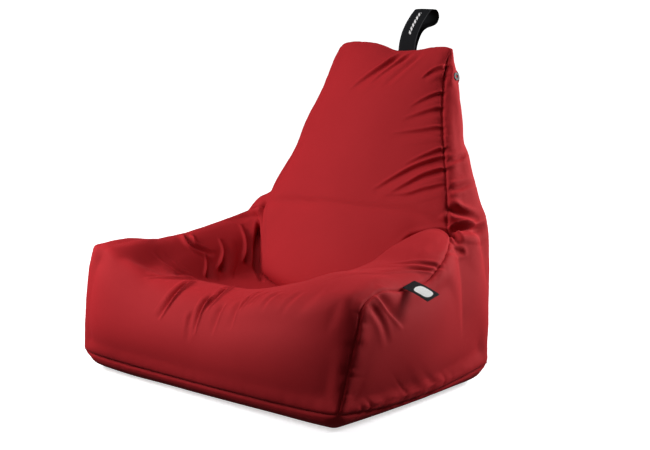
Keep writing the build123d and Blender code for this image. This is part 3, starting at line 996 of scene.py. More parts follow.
    folds: tuple[Fold, ...] = (
        Fold(
            ((-0.268, -0.262, 0.285), (-0.217, -0.220, 0.283), (-0.150, -0.165, 0.270)),
            0.016, 0.0060, 0.8, Overlap.RIGHT,
        ),
        Fold(
            (
                (-0.160, -0.326, 0.192), (-0.145, -0.289, 0.238), (-0.139, -0.257, 0.267),
                (-0.158, -0.180, 0.272),
            ),
            0.012, 0.0062, 0.8, Overlap.RIGHT,
        ),
        Fold(
            ((-0.022, -0.326, 0.172), (-0.028, -0.291, 0.224), (-0.029, -0.235, 0.270)),
            0.008, 0.0055, 0.8, Overlap.RIGHT,
        ),
        Fold(
            ((-0.014, -0.286, 0.230), (-0.005, -0.250, 0.264), (-0.030, -0.165, 0.272)),
            0.010, 0.0058, 0.8, Overlap.RIGHT,
        ),
        Fold(
            ((0.105, -0.282, 0.248), (0.110, -0.255, 0.272), (0.107, -0.190, 0.286)),
            0.008, 0.0052, 0.8, Overlap.RIGHT,
        ),
        Fold(
            ((0.134, -0.272, 0.263), (0.140, -0.250, 0.283), (0.150, -0.205, 0.296)),
            0.006, 0.0050, 0.6, Overlap.RIGHT,
        ),
        Fold(
            ((-0.037, -0.332, 0.150), (-0.046, -0.315, 0.191), (-0.056, -0.285, 0.229)),
            0.003, 0.0085, 0.5,
        ),
        Fold(
            ((0.042, -0.320, 0.180), (0.039, -0.294, 0.222), (0.034, -0.255, 0.258)),
            0.004, 0.0070, 0.5, Overlap.RIGHT,
        ),
        Fold(
            ((0.102, -0.312, 0.204), (0.095, -0.285, 0.243), (0.088, -0.245, 0.270)),
            0.004, 0.0065, 0.5, Overlap.RIGHT,
        ),
        Fold(
            ((0.188, -0.287, 0.258), (0.191, -0.263, 0.288), (0.210, -0.225, 0.308)),
            0.003, 0.0080, 0.5,
        ),
        Fold(
            ((0.260, -0.294, 0.258), (0.270, -0.265, 0.295), (0.290, -0.225, 0.318)),
            0.002, 0.0090, 0.5,
        ),
        Fold(
            ((-0.376, -0.132, 0.320), (-0.329, -0.107, 0.280), (-0.265, -0.050, 0.220)),
            0.008, 0.0075, 0.7, Overlap.RIGHT,
        ),
        Fold(
            ((-0.340, 0.075, 0.280), (-0.382, 0.020, 0.322), (-0.425, 0.040, 0.345)),
            0.010, 0.0080, 0.8,
        ),
        Fold(
            ((-0.372, 0.140, 0.322), (-0.342, 0.124, 0.285), (-0.308, 0.060, 0.235)),
            0.012, 0.0095, 1.0, Overlap.RIGHT,
        ),
        Fold(
            ((-0.380, 0.238, 0.354), (-0.346, 0.222, 0.303), (-0.310, 0.175, 0.240)),
            0.012, 0.0085, 1.0, Overlap.RIGHT,
        ),
        Fold(
            ((-0.354, 0.054, 0.296), (-0.329, 0.040, 0.267), (-0.296, -0.005, 0.225)),
            0.008, 0.0080, 0.9, Overlap.RIGHT,
        ),
        Fold(
            ((-0.100, 0.402, 0.758), (-0.020, 0.440, 0.827), (0.030, 0.505, 0.874)),
            0.007, 0.0100, 0.7, Overlap.LEFT,
        ),
        Fold(
            ((-0.030, 0.410, 0.780), (0.023, 0.448, 0.840), (0.066, 0.500, 0.874)),
            0.006, 0.0085, 0.7, Overlap.LEFT,
        ),
        Fold(((0.020, 0.412, 0.775), (0.070, 0.449, 0.838), (0.105, 0.495, 0.876)), 0.004, 0.0095, 0.5),
        Fold(
            (
                (0.080, 0.294, 0.488), (0.148, 0.317, 0.535), (0.211, 0.341, 0.572),
                (0.300, 0.385, 0.605),
            ),
            0.0070, 0.0080, 0.8, Overlap.LEFT,
        ),
        Fold(
            (
                (0.140, 0.297, 0.488), (0.190, 0.314, 0.520), (0.232, 0.337, 0.544),
                (0.310, 0.375, 0.572),
            ),
            0.0060, 0.0070, 0.8, Overlap.LEFT,
        ),
        Fold(
            ((0.165, 0.334, 0.566), (0.226, 0.358, 0.601), (0.290, 0.392, 0.632)),
            0.0050, 0.0070, 0.8, Overlap.LEFT,
        ),
        Fold(
            (
                (0.120, 0.296, 0.478), (0.189, 0.299, 0.490), (0.244, 0.318, 0.508),
                (0.325, 0.350, 0.534),
            ),
            0.0040, 0.0075, 0.6, Overlap.LEFT,
        ),
        Fold(
            ((0.095, 0.358, 0.645), (0.184, 0.375, 0.664), (0.270, 0.404, 0.685)),
            0.0045, 0.0085, 0.7, Overlap.LEFT,
        ),
        Fold(
            ((0.115, 0.380, 0.684), (0.180, 0.400, 0.713), (0.245, 0.430, 0.738)),
            0.0040, 0.0085, 0.7, Overlap.LEFT,
        ),
        Fold(
            ((0.130, 0.398, 0.722), (0.170, 0.417, 0.750), (0.228, 0.450, 0.780)),
            0.0045, 0.0070, 0.7, Overlap.LEFT,
        ),
        Fold(
            ((0.140, 0.440, 0.800), (0.165, 0.458, 0.826), (0.205, 0.490, 0.842)),
            0.007, 0.0060, 0.8, Overlap.LEFT,
        ),
        Fold(
            (
                (0.300, -0.175, 0.345), (0.386, -0.050, 0.352), (0.408, 0.047, 0.344),
                (0.460, 0.140, 0.332),
            ),
            0.006, 0.0065, 0.7, Overlap.RIGHT,
        ),
        Fold(((0.345, 0.030, 0.361), (0.405, 0.085, 0.357), (0.460, 0.152, 0.342)), 0.004, 0.0060, 0.6),
        Fold(
            ((0.504, -0.082, 0.235), (0.482, -0.136, 0.298), (0.452, -0.165, 0.335)),
            0.007, 0.0110, 0.6, Overlap.LEFT,
        ),
        Fold(
            ((0.506, -0.150, 0.200), (0.490, -0.165, 0.262), (0.464, -0.200, 0.312)),
            0.004, 0.0100, 0.5,
        ),
        Fold(
            ((0.412, 0.400, 0.430), (0.385, 0.335, 0.408), (0.340, 0.285, 0.400)),
            0.016, 0.0095, 0.7, Overlap.RIGHT,
        ),
        Fold(((0.385, 0.385, 0.434), (0.352, 0.345, 0.448), (0.318, 0.312, 0.470)), 0.012, 0.0110, 0.5),
        Fold(((0.298, 0.452, 0.615), (0.303, 0.415, 0.600), (0.280, 0.365, 0.582)), 0.004, 0.0070, 0.6),
        Fold(((0.342, 0.435, 0.532), (0.333, 0.375, 0.522), (0.300, 0.335, 0.504)), 0.005, 0.0085, 0.6),
        Fold(((0.436, 0.150, 0.392), (0.420, 0.262, 0.366), (0.395, 0.215, 0.386)), 0.004, 0.0070, 0.5),
    )
    gathers: tuple[Gathers, ...] = (
        Gathers(Panel.BACKREST, NEAR_BACK_EDGE, 0.0045, 0.026, 0.032, -0.35, 11),
        Gathers(Panel.SIDE_LEFT, NEAR_BACK_EDGE, 0.0035, 0.022, 0.018, 0.3, 12),
        Gathers(Panel.FRONT_SEAT, NEAR_FRONT_EDGE, 0.0070, 0.022, 0.030, 0.1, 13),
        Gathers(Panel.SIDE_LEFT, NEAR_FRONT_EDGE, 0.0075, 0.022, 0.034, -0.2, 14),
        Gathers(Panel.SIDE_LEFT, NEAR_ARM_EDGE, 0.0030, 0.020, 0.020, 0.4, 15),
        Gathers(Panel.FRONT_SEAT, NEAR_ARM_EDGE, 0.0025, 0.018, 0.018, 0.3, 16),
        Gathers(Panel.SIDE_LEFT, NEAR_HEM, 0.0070, 0.034, 0.060, 1.0, 17),
        Gathers(Panel.BACKREST, FAR_BACK_EDGE, 0.0030, 0.028, 0.024, 0.3, 18),
        Gathers(Panel.BACK, FAR_REAR_EDGE, 0.0040, 0.024, 0.030, 0.3, 19),
        Gathers(Panel.BACK, NEAR_REAR_EDGE, 0.0040, 0.024, 0.030, -0.3, 20),
        Gathers(Panel.BACK, REAR_HEM_EDGE, 0.0030, 0.022, 0.022, 0.1, 21),
        Gathers(Panel.SIDE_RIGHT, FAR_FRONT_EDGE, 0.0040, 0.018, 0.030, 0.2, 22),
    )
    pressure: float = 4.0
    steps: int = 22
    swell: float = 0.008
    cap: float = 0.02
    kept_swell: float = 0.35
    kept_wrinkle: float = 0.45
    even_passes: int = 160
    calm_passes: int = 60
    seam_hold: float = 0.004
    base_hold: float = 0.03
    calm_gap: tuple[float, float] = (0.008, 0.05)
    calm_rise: tuple[float, float] = (0.03, 0.08)
    seat_front: tuple[float, float] = (-0.31, -0.27)
    seat_back: tuple[float, float] = (0.33, 0.36)
    seat_top: tuple[float, float] = (0.42, 0.48)
    arm_edge: tuple[float, float] = (0.455, 0.47)
    sink_passes: int = 3
    sink_gain: float = 1.3
    inner_top: float = 0.862
    drop_rise: tuple[float, float] = (0.25, 0.38)
    inner_drop: float = 0.022
    near_hem_dip: float = 0.026

    sheets: dict = field(default_factory=dict, init=False)

    # -- the shape before it is filled --

    def strip_grid(self) -> np.ndarray:
        """The strip's grid, from its net.

        The net is read first along its stations and then across, with smooth curves, and each row
        is read again at even distances, so that the hollow's steep walls get their share.

        Returns:
            Rows from the front hem to the crown, and columns from the sitter's right to the left.
        """
        near, far = np.array(self.near_half, float), np.array(self.far_half, float)
        net = np.concatenate([far, np.array(self.middle, float)[:, None], near[:, ::-1]], axis=1)
        up = np.concatenate([[0], np.cumsum(np.linalg.norm(np.diff(net, axis=0), axis=2).mean(axis=1))])
        across = np.concatenate([[0], np.cumsum(np.linalg.norm(np.diff(net, axis=1), axis=2).mean(axis=0))])
        zones = [(0, self.brow_row, self.cells_front), (self.brow_row, self.foot_row, self.cells_arm)]
        zones.append((self.foot_row, len(net) - 1, self.cells_back))
        at = np.concatenate([np.linspace(up[a], up[b], n + 1)[:-1] for a, b, n in zones] + [up[-1:]])
        lines = smooth_curve(up, net, at)
        dense = smooth_curve(across, lines.transpose(1, 0, 2), np.linspace(0, across[-1], 240))
        return np.stack([evenly(row, self.cells_across) for row in dense.transpose(1, 0, 2)])

    def rear_line(self, points: tuple, count: int, side: int) -> np.ndarray:
        """One of the rear seam's lines, mirrored to a side: 1 for the sitter's left, -1 for right."""
        return through(np.array(points) * (side, 1, 1), count)

    def build_sheets(self) -> None:
        """Makes the grids of all the panels, with shared edges."""
        strip = self.strip_grid()
        brow, foot = self.cells_front, self.cells_front + self.cells_arm
        crown_row = len(strip) - 1
        rear_low, rear_high, shoulders, gusset_tops = {}, {}, {}, {}
        for side, column in ((1, -1), (-1, 0)):
            seam = strip[:, column]
            low = self.rear_line(self.rear_seam, self.cells_front, side)
            high = self.rear_line(self.rear_seam_upper, self.cells_back, side)
            shoulder = np.array([seam[foot], np.array(self.shoulder) * (side, 1, 1), low[-1]])
            line = through(shoulder, self.cells_depth)
            line[0], line[-1] = seam[foot], low[-1]
            high[0], high[-1] = low[-1], self.top_seam[-1 if side > 0 else 0]
            top = np.linspace(seam[crown_row], high[-1], self.cells_depth + 1)
            rear_low[side], rear_high[side], shoulders[side], gusset_tops[side] = low, high, line, top
            upper_edge = np.concatenate([seam[brow : foot + 1], line[1:]])
            run = run_length(upper_edge) / run_length(upper_edge)[-1]
            hem = seam[0] + run[:, None] * (low[0] - seam[0])
            if side > 0:
                hem[:, 2] -= self.near_hem_dip * np.sin(math.pi * run)
            block = spanned(hem, upper_edge, seam[: brow + 1], low)
            rise = self.near_side_crown if side > 0 else self.far_side_crown
            block[..., 0] += side * rise * crown(*(np.array(block.shape[:2]) - 1), 0.7)
            gusset = spanned(line, top, seam[foot:], high)
            gusset[..., 0] += side * self.gusset_crown * crown(*(np.array(gusset.shape[:2]) - 1))
            panel = Panel.SIDE_LEFT if side > 0 else Panel.SIDE_RIGHT
            self.sheets[f"{panel.node}_block"] = (panel, block)
            self.sheets[f"{panel.node}_gusset"] = (panel, gusset)
        left_blocks = self.sheets["side_panel_right_block"][1], self.sheets["side_panel_left_block"][1]
        rear_hem = np.linspace(rear_low[-1][0], rear_low[1][0], self.cells_across + 1)
        rear_top = through(np.array(self.top_seam), self.cells_across)
        edges = {side: np.concatenate([rear_low[side], rear_high[side][1:]]) for side in (1, -1)}
        back = spanned(rear_hem, rear_top, edges[-1], edges[1])
        back[..., 1] += self.back_crown * crown(*(np.array(back.shape[:2]) - 1))
        base = spanned(strip[0], rear_hem, left_blocks[0][0], left_blocks[1][0])
        base[..., 2] *= self.base_share(base)
        base[0], base[-1], base[:, 0], base[:, -1] = strip[0], rear_hem, left_blocks[0][0], left_blocks[1][0]
        band = spanned(strip[crown_row], rear_top, gusset_tops[-1], gusset_tops[1])
        band[..., 2] += 0.004 * crown(*(np.array(band.shape[:2]) - 1), 0.5)
        self.sheets["front"] = (Panel.FRONT_SEAT, strip[: foot + 1])
        self.sheets["rest"] = (Panel.BACKREST, strip[foot:])
        self.sheets["band"] = (Panel.BACKREST, band)
        self.sheets["back"] = (Panel.BACK, back)
        self.sheets["base"] = (Panel.BASE, base)

    def base_share(self, base: np.ndarray) -> np.ndarray:
        """Share of the hem's height at each point of the base: a quarter wave down from each side.

        Args:
            base: the base's grid.

        Returns:
            One at the hem and zero on the floor.
        """
        a = np.minimum(base[..., 0] - base[:, :1, 0], base[:, -1:, 0] - base[..., 0])
        b = np.minimum(base[..., 1] - base[:1, :, 1], base[-1:, :, 1] - base[..., 1])
        drop = [np.sin(np.clip(d / self.contact_slope, 0, 1) * math.pi / 2) for d in (a, b)]
        return 1 - drop[0] * drop[1]

    def weld(self) -> tuple[np.ndarray, np.ndarray, np.ndarray, np.ndarray]:
        """Joins the sheets into one closed skin.

        Returns:
            Points, quads, the panel number of each quad and the weave coordinates of its corners.
        """
        points, quads, panels, weave, start = [], [], [], [], 0
        for panel, sheet in self.sheets.values():
            rows, columns = sheet.shape[0] - 1, sheet.shape[1] - 1
            faces = grid_faces(rows, columns)
            steps = np.linalg.norm(np.diff(sheet, axis=1), axis=2)
            across = np.cumsum(np.concatenate([np.zeros((rows + 1, 1)), steps], axis=1), axis=1)
            across -= across[:, -1:] / 2
            up = np.concatenate([np.zeros((1, columns + 1)), np.linalg.norm(np.diff(sheet, axis=0), axis=2)])
            up = np.cumsum(up, axis=0)
            flat = np.stack([across, up], axis=-1).reshape(-1, 2)
            points.append(sheet.reshape(-1, 3))
            quads.append(faces + start)
            panels.append(np.full(len(faces), panel.value))
            weave.append(flat[faces])
            start += (rows + 1) * (columns + 1)
        points, quads = np.concatenate(points), np.concatenate(quads)
        microns = np.round(points * 1e6).astype(np.int64)
        _, first, inverse = np.unique(microns, axis=0, return_index=True, return_inverse=True)
        return points[first], inverse.reshape(-1)[quads], np.concatenate(panels), np.concatenate(weave)

    def seam_lines(self) -> list[np.ndarray]:
        """The seams as lines of points.

        Returns:
            The hem's four sides, the rear seams, the top's rear edge and the two side seams.
        """
        front, rest = self.sheets["front"][1], self.sheets["rest"][1]
        back, base = self.sheets["back"][1], self.sheets["base"][1]
        lines = [front[0], base[:, 0], base[:, -1], base[-1], back[:, 0], back[:, -1], back[-1]]
        lines += [np.concatenate([front[:, k], rest[1:, k]]) for k in (0, -1)]
        return lines

    def seam_distance(self, points: np.ndarray) -> tuple[np.ndarray, np.ndarray]:
        """Where each point lies beside the seams.

        Args:
            points: the points.

        Returns:
            Their distance to the nearest seam, and how far along the seams that lies.
        """
        lines = self.seam_lines()
        starts = np.cumsum([0.0] + [run_length(line)[-1] + 1.0 for line in lines])
        places = np.concatenate(lines)
        runs = np.concatenate([run_length(line) + s for line, s in zip(lines, starts)])
        gap, run = np.empty(len(points)), np.empty(len(points))
        for chunk in np.array_split(np.arange(len(points)), 24):
            apart = np.linalg.norm(points[chunk, None] - places[None], axis=2)
            closest = apart.argmin(axis=1)
            gap[chunk], run[chunk] = apart[np.arange(len(chunk)), closest], runs[closest]
        return gap, run

    # -- filling it --

    def inflate(self, skin: bpy.types.Object, hold: np.ndarray) -> np.ndarray:
        """Blows the skin up as cloth and returns its points.

        The seams are held, the cloth between them is cut a little too large and the filling
        presses it outwards. No point moves further than the cap, and only a part is kept of the
        broad swell and of the short waves.

        Args:
            skin: the closed skin.
            hold: how firmly each of its points is held.

        Returns:
            The points of the filled skin.
        """
        start = read_points(skin.data)
        group = skin.vertex_groups.new(name="held")
        levels = np.round(hold, 2)
        for level in np.unique(levels):
            group.add(np.flatnonzero(levels == level).tolist(), float(level), "REPLACE")
        cloth = skin.modifiers.new("filling", "CLOTH")
        settings = cloth.settings
        settings.quality = 5
        settings.mass = 0.3
        settings.tension_stiffness = settings.compression_stiffness = 25.0
        settings.shear_stiffness = 8.0
        settings.bending_stiffness = 0.6
        settings.tension_damping = settings.compression_damping = 12.0
        settings.air_damping = 3.0
        settings.use_pressure = True
        settings.uniform_pressure_force = self.pressure
        settings.effector_weights.gravity = 0.0
        settings.vertex_group_mass = "held"
        settings.pin_stiffness = 1.2
        settings.shrink_min = -self.swell
        cloth.collision_settings.use_collision = False
        scene = bpy.context.scene
        cloth.point_cache.frame_start, cloth.point_cache.frame_end = 1, self.steps
        for step in range(1, self.steps + 1):
            scene.frame_set(step)
        filled = read_points(skin.evaluated_get(bpy.context.evaluated_depsgraph_get()).to_mesh())
        skin.modifiers.remove(cloth)
        scene.frame_set(1)
        move = filled - start
        size = np.linalg.norm(move, axis=1, keepdims=True)
        move *= self.cap * np.tanh(size / self.cap) / np.maximum(size, 1e-9)
        broad = self.evened(skin.data, move, self.even_passes)
        return start + self.kept_wrinkle * (move - broad) + self.kept_swell * broad

    def evened(self, mesh: bpy.types.Mesh, values: np.ndarray, passes: int) -> np.ndarray:
        """Values on the points with the short waves taken out, by many averages over neighbours.

        Args:
            mesh: gives the neighbours.
            values: three numbers for each point.
            passes: how many averages.

        Returns:
            The smooth values.
        """
        ends = np.empty(len(mesh.edges) * 2, np.int32)
        mesh.edges.foreach_get("vertices", ends)
        a, b = ends.reshape(-1, 2).T
        count = len(values)
        degree = np.bincount(a, minlength=count) + np.bincount(b, minlength=count)
        for _ in range(passes):
            total = [
                np.bincount(a, values[b, k], count) + np.bincount(b, values[a, k], count) for k in range(3)
            ]
            values = 0.5 * values + 0.5 * np.stack(total, axis=1) / degree[:, None]
        return values

    def build_skin(self) -> bpy.types.Object:
        """Makes the closed skin and fills it, with its seam measures on its points.

        Returns:
            The skin's object.
        """
        self.build_sheets()
        points, quads, panels, weave = self.weld()
        mesh = make_mesh("skin", points, quads, weave)
        mesh.attributes.new("panel", "INT", "FACE").data.foreach_set("value", panels.astype(np.int32))
        gap, run = self.seam_distance(points)
        mesh.attributes.new("gap", "FLOAT", "POINT").data.foreach_set("value", gap.astype(np.float32))
        mesh.attributes.new("run", "FLOAT", "POINT").data.foreach_set("value", run.astype(np.float32))
        turn_outwards(mesh)
        self.sharpen_seams(mesh)
        skin = place("skin", mesh)
        filled = self.calmed(mesh, self.inflate(skin, self.hold(points, gap)), gap)
        filled[:, 2] = np.maximum(filled[:, 2], 0.0)
        mesh.vertices.foreach_set("co", filled.astype(np.float32).ravel())
        mesh.update()
        return skin

    def calmed(self, mesh: bpy.types.Mesh, points: np.ndarray, gap: np.ndarray) -> np.ndarray:
        """The points with the broad panels evened out, and the seams, seat, arms and base kept.

        Args:
            mesh: the skin, for its edges.
            points: its points.
            gap: their distance to the nearest seam.

        Returns:
            The points.
        """
        x, y, z = points.T
        seat = smooth_step(y, *self.seat_front) * (1.0 - smooth_step(z, *self.seat_top))
        seat = seat * (1.0 - smooth_step(np.abs(x), *self.arm_edge)) * (1.0 - smooth_step(y, *self.seat_back))
        share = smooth_step(gap, *self.calm_gap) * (1.0 - seat) * smooth_step(z, *self.calm_rise)
        return points + share[:, None] * (self.evened(mesh, points, self.calm_passes) - points)

    def hold(self, points: np.ndarray, gap: np.ndarray) -> np.ndarray:
        """How firmly each point is held: seams and base firmly, the rest not at all.

        Args:
            points: the skin's points.
            gap: their distance to the nearest seam.

        Returns:
            Weights from 0 to 1.
        """
        seam = np.exp(-((gap / self.seam_hold) ** 2))
        base = 1.0 - smooth_step(points[:, 2], 0.0, self.base_hold)
        return np.clip(np.maximum(seam, base), 0.0, 1.0)

    def subdivided(self, skin: bpy.types.Object) -> bpy.types.Mesh:
        """The skin after its subdivisions.

        Args:
            skin: the coarse skin.

        Returns:
            A mesh of its own.
        """
        finer = skin.modifiers.new("finer", "SUBSURF")
        finer.levels = finer.render_levels = self.subdivisions
        finer.use_limit_surface = False
        graph = bpy.context.evaluated_depsgraph_get()
        mesh = bpy.data.meshes.new_from_object(skin.evaluated_get(graph), depsgraph=graph)
        skin.modifiers.remove(finer)
        return mesh

    def sharpen_seams(self, mesh: bpy.types.Mesh) -> None:
        """Marks the edges between two panels as creases, so that the subdivision keeps the seams.

        Args:
            mesh: the coarse skin, which is changed.
        """
        panels = self.read_attribute(mesh, "panel", len(mesh.polygons), np.int32)
        edge_of = np.empty(len(mesh.loops), np.int32)
        mesh.loops.foreach_get("edge_index", edge_of)
        owner = np.repeat(panels, 4)
        low, high = np.full(len(mesh.edges), 99), np.full(len(mesh.edges), -1)
        np.minimum.at(low, edge_of, owner)
        np.maximum.at(high, edge_of, owner)
        pair = (low != high) & ~((low == Panel.FRONT_SEAT.value) & (high == Panel.BACKREST.value))
        mesh.attributes.new("crease_edge", "FLOAT", "EDGE").data.foreach_set("value", pair.astype(np.float32))

    def detail(self, mesh: bpy.types.Mesh, members: dict[Panel, np.ndarray]) -> np.ndarray:
        """The points after the small relief: pillows beside the seams, gathers, folds and lumps.

        Args:
            mesh: the fine skin.
            members: for each panel, which points are its own.

        Returns:
            The points.
        """
        points, normals = read_points(mesh), read_normals(mesh)
        gap, run = (self.read_attribute(mesh, name, len(points)) for name in ("gap", "run"))
        above = smooth_step(points[:, 2], 0.005, 0.03)
        height = self.seam_pillow * (1 - np.exp(-gap / self.pillow_reach)) * above
        reach = 0.010 + 0.007 * ripple(run / 0.05, 5)
        envelope = np.minimum(gap / 0.005, 1.0) * np.exp(-((gap / np.maximum(reach, 0.004)) ** 1.3))
        wave = 0.6 * ripple(run / 0.007, 1) + 0.5 * ripple(run / 0.016, 2)
        height += self.stitch_ripple * (0.6 + 0.4 * ripple(run / 0.09, 3)) * envelope * wave
        height -= self.groove_depth * np.exp(-((gap / self.groove_half) ** 2))
        height += self.lump_rise * lumps(points, self.lump_size, 4) * smooth_step(gap, 0.0, 0.06)
        for fold in (*self.folds, *self.crevices):
            height += fold.relief(points, normals)
        for gather in self.gathers:
            height += gather.relief(points, normals, members[gather.panel])
        moved = points + normals * height[:, None]
        moved[:, 2] = np.maximum(moved[:, 2], 0.0)
        return self.settled(moved, gap)

    def settled(self, points: np.ndarray, seam_gap: np.ndarray) -> np.ndarray:
        """The points drawn onto the flat places under the eyelets and round the zip.

        A flat place pulls the points near it all the way to its plane and those further off less
        and less, as a smooth step of the distance. The seams stay where they are.

        Args:
            points: the cover's points.
            seam_gap: their distance to the nearest seam.

        Returns:
            The points.
        """
        x, y, z = points.T
        low, high = (np.array(c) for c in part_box("vent_eyelet_left"))
        centre = (low + high) / 2
        slope = (self.waist_width - self.top_width) / 2 / (self.top_height - self.waist_height)
        for side in (1, -1):
            face = self.waist_width / 2 - slope * (z - self.waist_height)
            gap = np.hypot(y - centre[1], z - centre[2])
            pull = (1 - smooth_step(gap, *self.eyelet_pull)) * (x * side > 0.12)
            pull = pull * np.where(gap < self.eyelet_radius, 1.0, smooth_step(seam_gap, 0.002, 0.016))
            x = x + pull * (side * (face - self.eyelet_off) - x)
        middle = (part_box("zip_slider")[0][2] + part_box("zip_slider")[1][2]) / 2
        face = rear_plane(z)
        up = np.abs(z - middle) * math.hypot(1.0, REAR_LEAN)
        across = np.abs(x)
        rear = y > 0.25
        pull = (1 - smooth_step(up, *self.zip_pull_up)) * (1 - smooth_step(across, *self.zip_pull_across)) * rear
        slot = (1 - smooth_step(up, *self.zip_slot_up)) * (1 - smooth_step(across, *self.zip_slot_across)) * rear
        y = y + pull * (face - y) - self.zip_slot_depth * slot
        return np.stack([x, y, z], axis=1)

    @staticmethod
    def read_attribute(mesh: bpy.types.Mesh, name: str, count: int, kind: type = np.float32) -> np.ndarray:
        """One of the mesh's attributes as an array.

        Args:
            mesh: the mesh.
            name: the attribute.
            count: how many values it has.
            kind: their number type.

        Returns:
            The values.
        """
        values = np.empty(count, kind)
        mesh.attributes[name].data.foreach_get("value", values)
        return values

    def build(self, finish: bpy.types.Material) -> None:
        """Makes the cover's panels, and the liner and filling in them.

        Args:
            finish: the cloth.
        """
        skin = self.build_skin()
        self.add_insides(skin)
        mesh = self.subdivided(skin)
        corners = np.empty(len(mesh.loops), np.int32)
        mesh.loops.foreach_get("vertex_index", corners)
        quads = corners.reshape(-1, 4)
        weave = np.empty(len(mesh.loops) * 2, np.float32)
        mesh.uv_layers["weave"].uv.foreach_get("vector", weave)
        weave = weave.reshape(-1, 4, 2)
        number = self.read_attribute(mesh, "panel", len(quads), np.int32)
        members = {p: np.isin(np.arange(len(mesh.vertices)), quads[number == p.value]) for p in Panel}
        points = self.detail(mesh, members)
        pieces = {}
        for panel in Panel:
            mine = number == panel.value
            used, faces = np.unique(quads[mine], return_inverse=True)
            part = make_mesh(panel.node, points[used], faces.reshape(-1, 4), weave[mine])
            pieces[panel] = place(f"cover_{panel.node}", part, finish)
            LOG.info("%s: %d faces", panel.node, mine.sum())
        bpy.data.objects.remove(skin)
        for panel, piece in pieces.items():
            stand_for(piece, panel.node)

    def add_insides(self, skin: bpy.types.Object) -> None:
        """The liner and the filling: copies of the skin, set in along its normals.

        They are sunk under the folds too, and dropped under the arms' narrow ridges.

        Args:
            skin: the closed skin.
        """
        points, normals = read_points(skin.data), read_normals(skin.data)
        sunk = sum(fold.relief(points, normals) for fold in (*self.folds, *self.crevices))
        spread = self.evened(skin.data, np.column_stack([sunk] * 3), self.sink_passes)[:, :1]
        points = points + normals * np.minimum(self.sink_gain * spread, 0.0)
        corners = np.empty(len(skin.data.loops), np.int32)
        skin.data.loops.foreach_get("vertex_index", corners)
        for name, node, inset, slot_name, finish in (
            ("liner_bag", "inner_liner", 0.012, "liner_fabric", LinerCloth().material()),
            ("bead_body", "bead_filling", 0.015, "bead_fill", BeadFill().material()),
        ):
            inner = points - normals * inset
            inner[:, 2] -= self.inner_drop * smooth_step(points[:, 2], *self.drop_rise)
            inner[:, 2] = np.clip(inner[:, 2], inset, self.inner_top - inset)
            piece = place(name, make_mesh(name, inner, corners.reshape(-1, 4)), finish)
            stand_for(piece, node)
            LOG.info("%s: %d faces", name, len(skin.data.polygons))


def turn_outwards(mesh: bpy.types.Mesh) -> None:
    """Turns a closed mesh's faces outwards.

    Args:
        mesh: the mesh, which is changed.
    """
    body = bmesh.new()
    body.from_mesh(mesh)
    bmesh.ops.recalc_face_normals(body, faces=body.faces)
    body.to_mesh(mesh)
    body.free()


# ---- Webbing, label, zip and small parts ---------------------------------------------------------


def ribbon(
    name: str, middle: np.ndarray, across: np.ndarray, width: np.ndarray, thickness: float
) -> bpy.types.Mesh:
    """A flat band along a line, closed at both ends.

    Its section is a flat oval: half the thickness, times one less the fourth power of the share of
    the half width, rounded off at the edges.

    Args:
        name: name of the mesh.
        middle: points of the middle line.
        across: direction of the band's width at each point, or one for all.
        width: width at each point.
        thickness: thickness in its middle.

    Returns:
        The mesh. Its map has the place across the band and the run along it, in metres, and the
        back is one metre further across than the front.
    """
    share = -np.cos(np.linspace(0.0, math.pi, 15))
    lift = thickness / 2 * np.sqrt(1.0 - share**4)
    around = np.concatenate([share, share[-2:0:-1]])
    height = np.concatenate([lift, -lift[-2:0:-1]])
    along = unit(np.gradient(middle, axis=0))
    across = np.broadcast_to(across, middle.shape)
    up = unit(np.cross(along, across))
    side = unit(np.cross(up, along))
    rings = middle[:, None] + side[:, None] * (width[:, None] / 2 * around)[..., None]
    rings = rings + up[:, None] * height[:, None]
    rows, columns = len(middle), len(around)
    points = np.concatenate([middle[:1], rings.reshape(-1, 3), middle[-1:]])
    body = grid_faces(rows - 1, columns, closed=True) + 1
    ring = np.arange(columns)
    first = np.stack([np.zeros(columns, int), (ring + 1) % columns + 1, ring + 1], axis=1)
    start = 1 + (rows - 1) * columns
    last = np.stack([np.full(columns, len(points) - 1), ring + start, (ring + 1) % columns + start], axis=1)
    run = run_length(middle)
    under = np.arange(columns) >= len(share)
    u = around[None] * width[:, None] / 2 + np.where(under, 0.0, 1.0)[None]
    v = np.broadcast_to(run[:, None], u.shape)
    uv = np.concatenate([[[0.0, 0.0]], np.stack([u, v], axis=-1).reshape(-1, 2), [[0.0, run[-1]]]])
    mesh = bpy.data.meshes.new(name)
    mesh.from_pydata(points.tolist(), [], [*body.tolist(), *first.tolist(), *last.tolist()])
    layer = mesh.uv_layers.new(name="weave")
    corners = np.empty(len(mesh.loops), np.int32)
    mesh.loops.foreach_get("vertex_index", corners)
    layer.uv.foreach_set("vector", uv[corners].astype(np.float32).ravel())
    turn_outwards(mesh)
    mesh.shade_smooth()
    return mesh


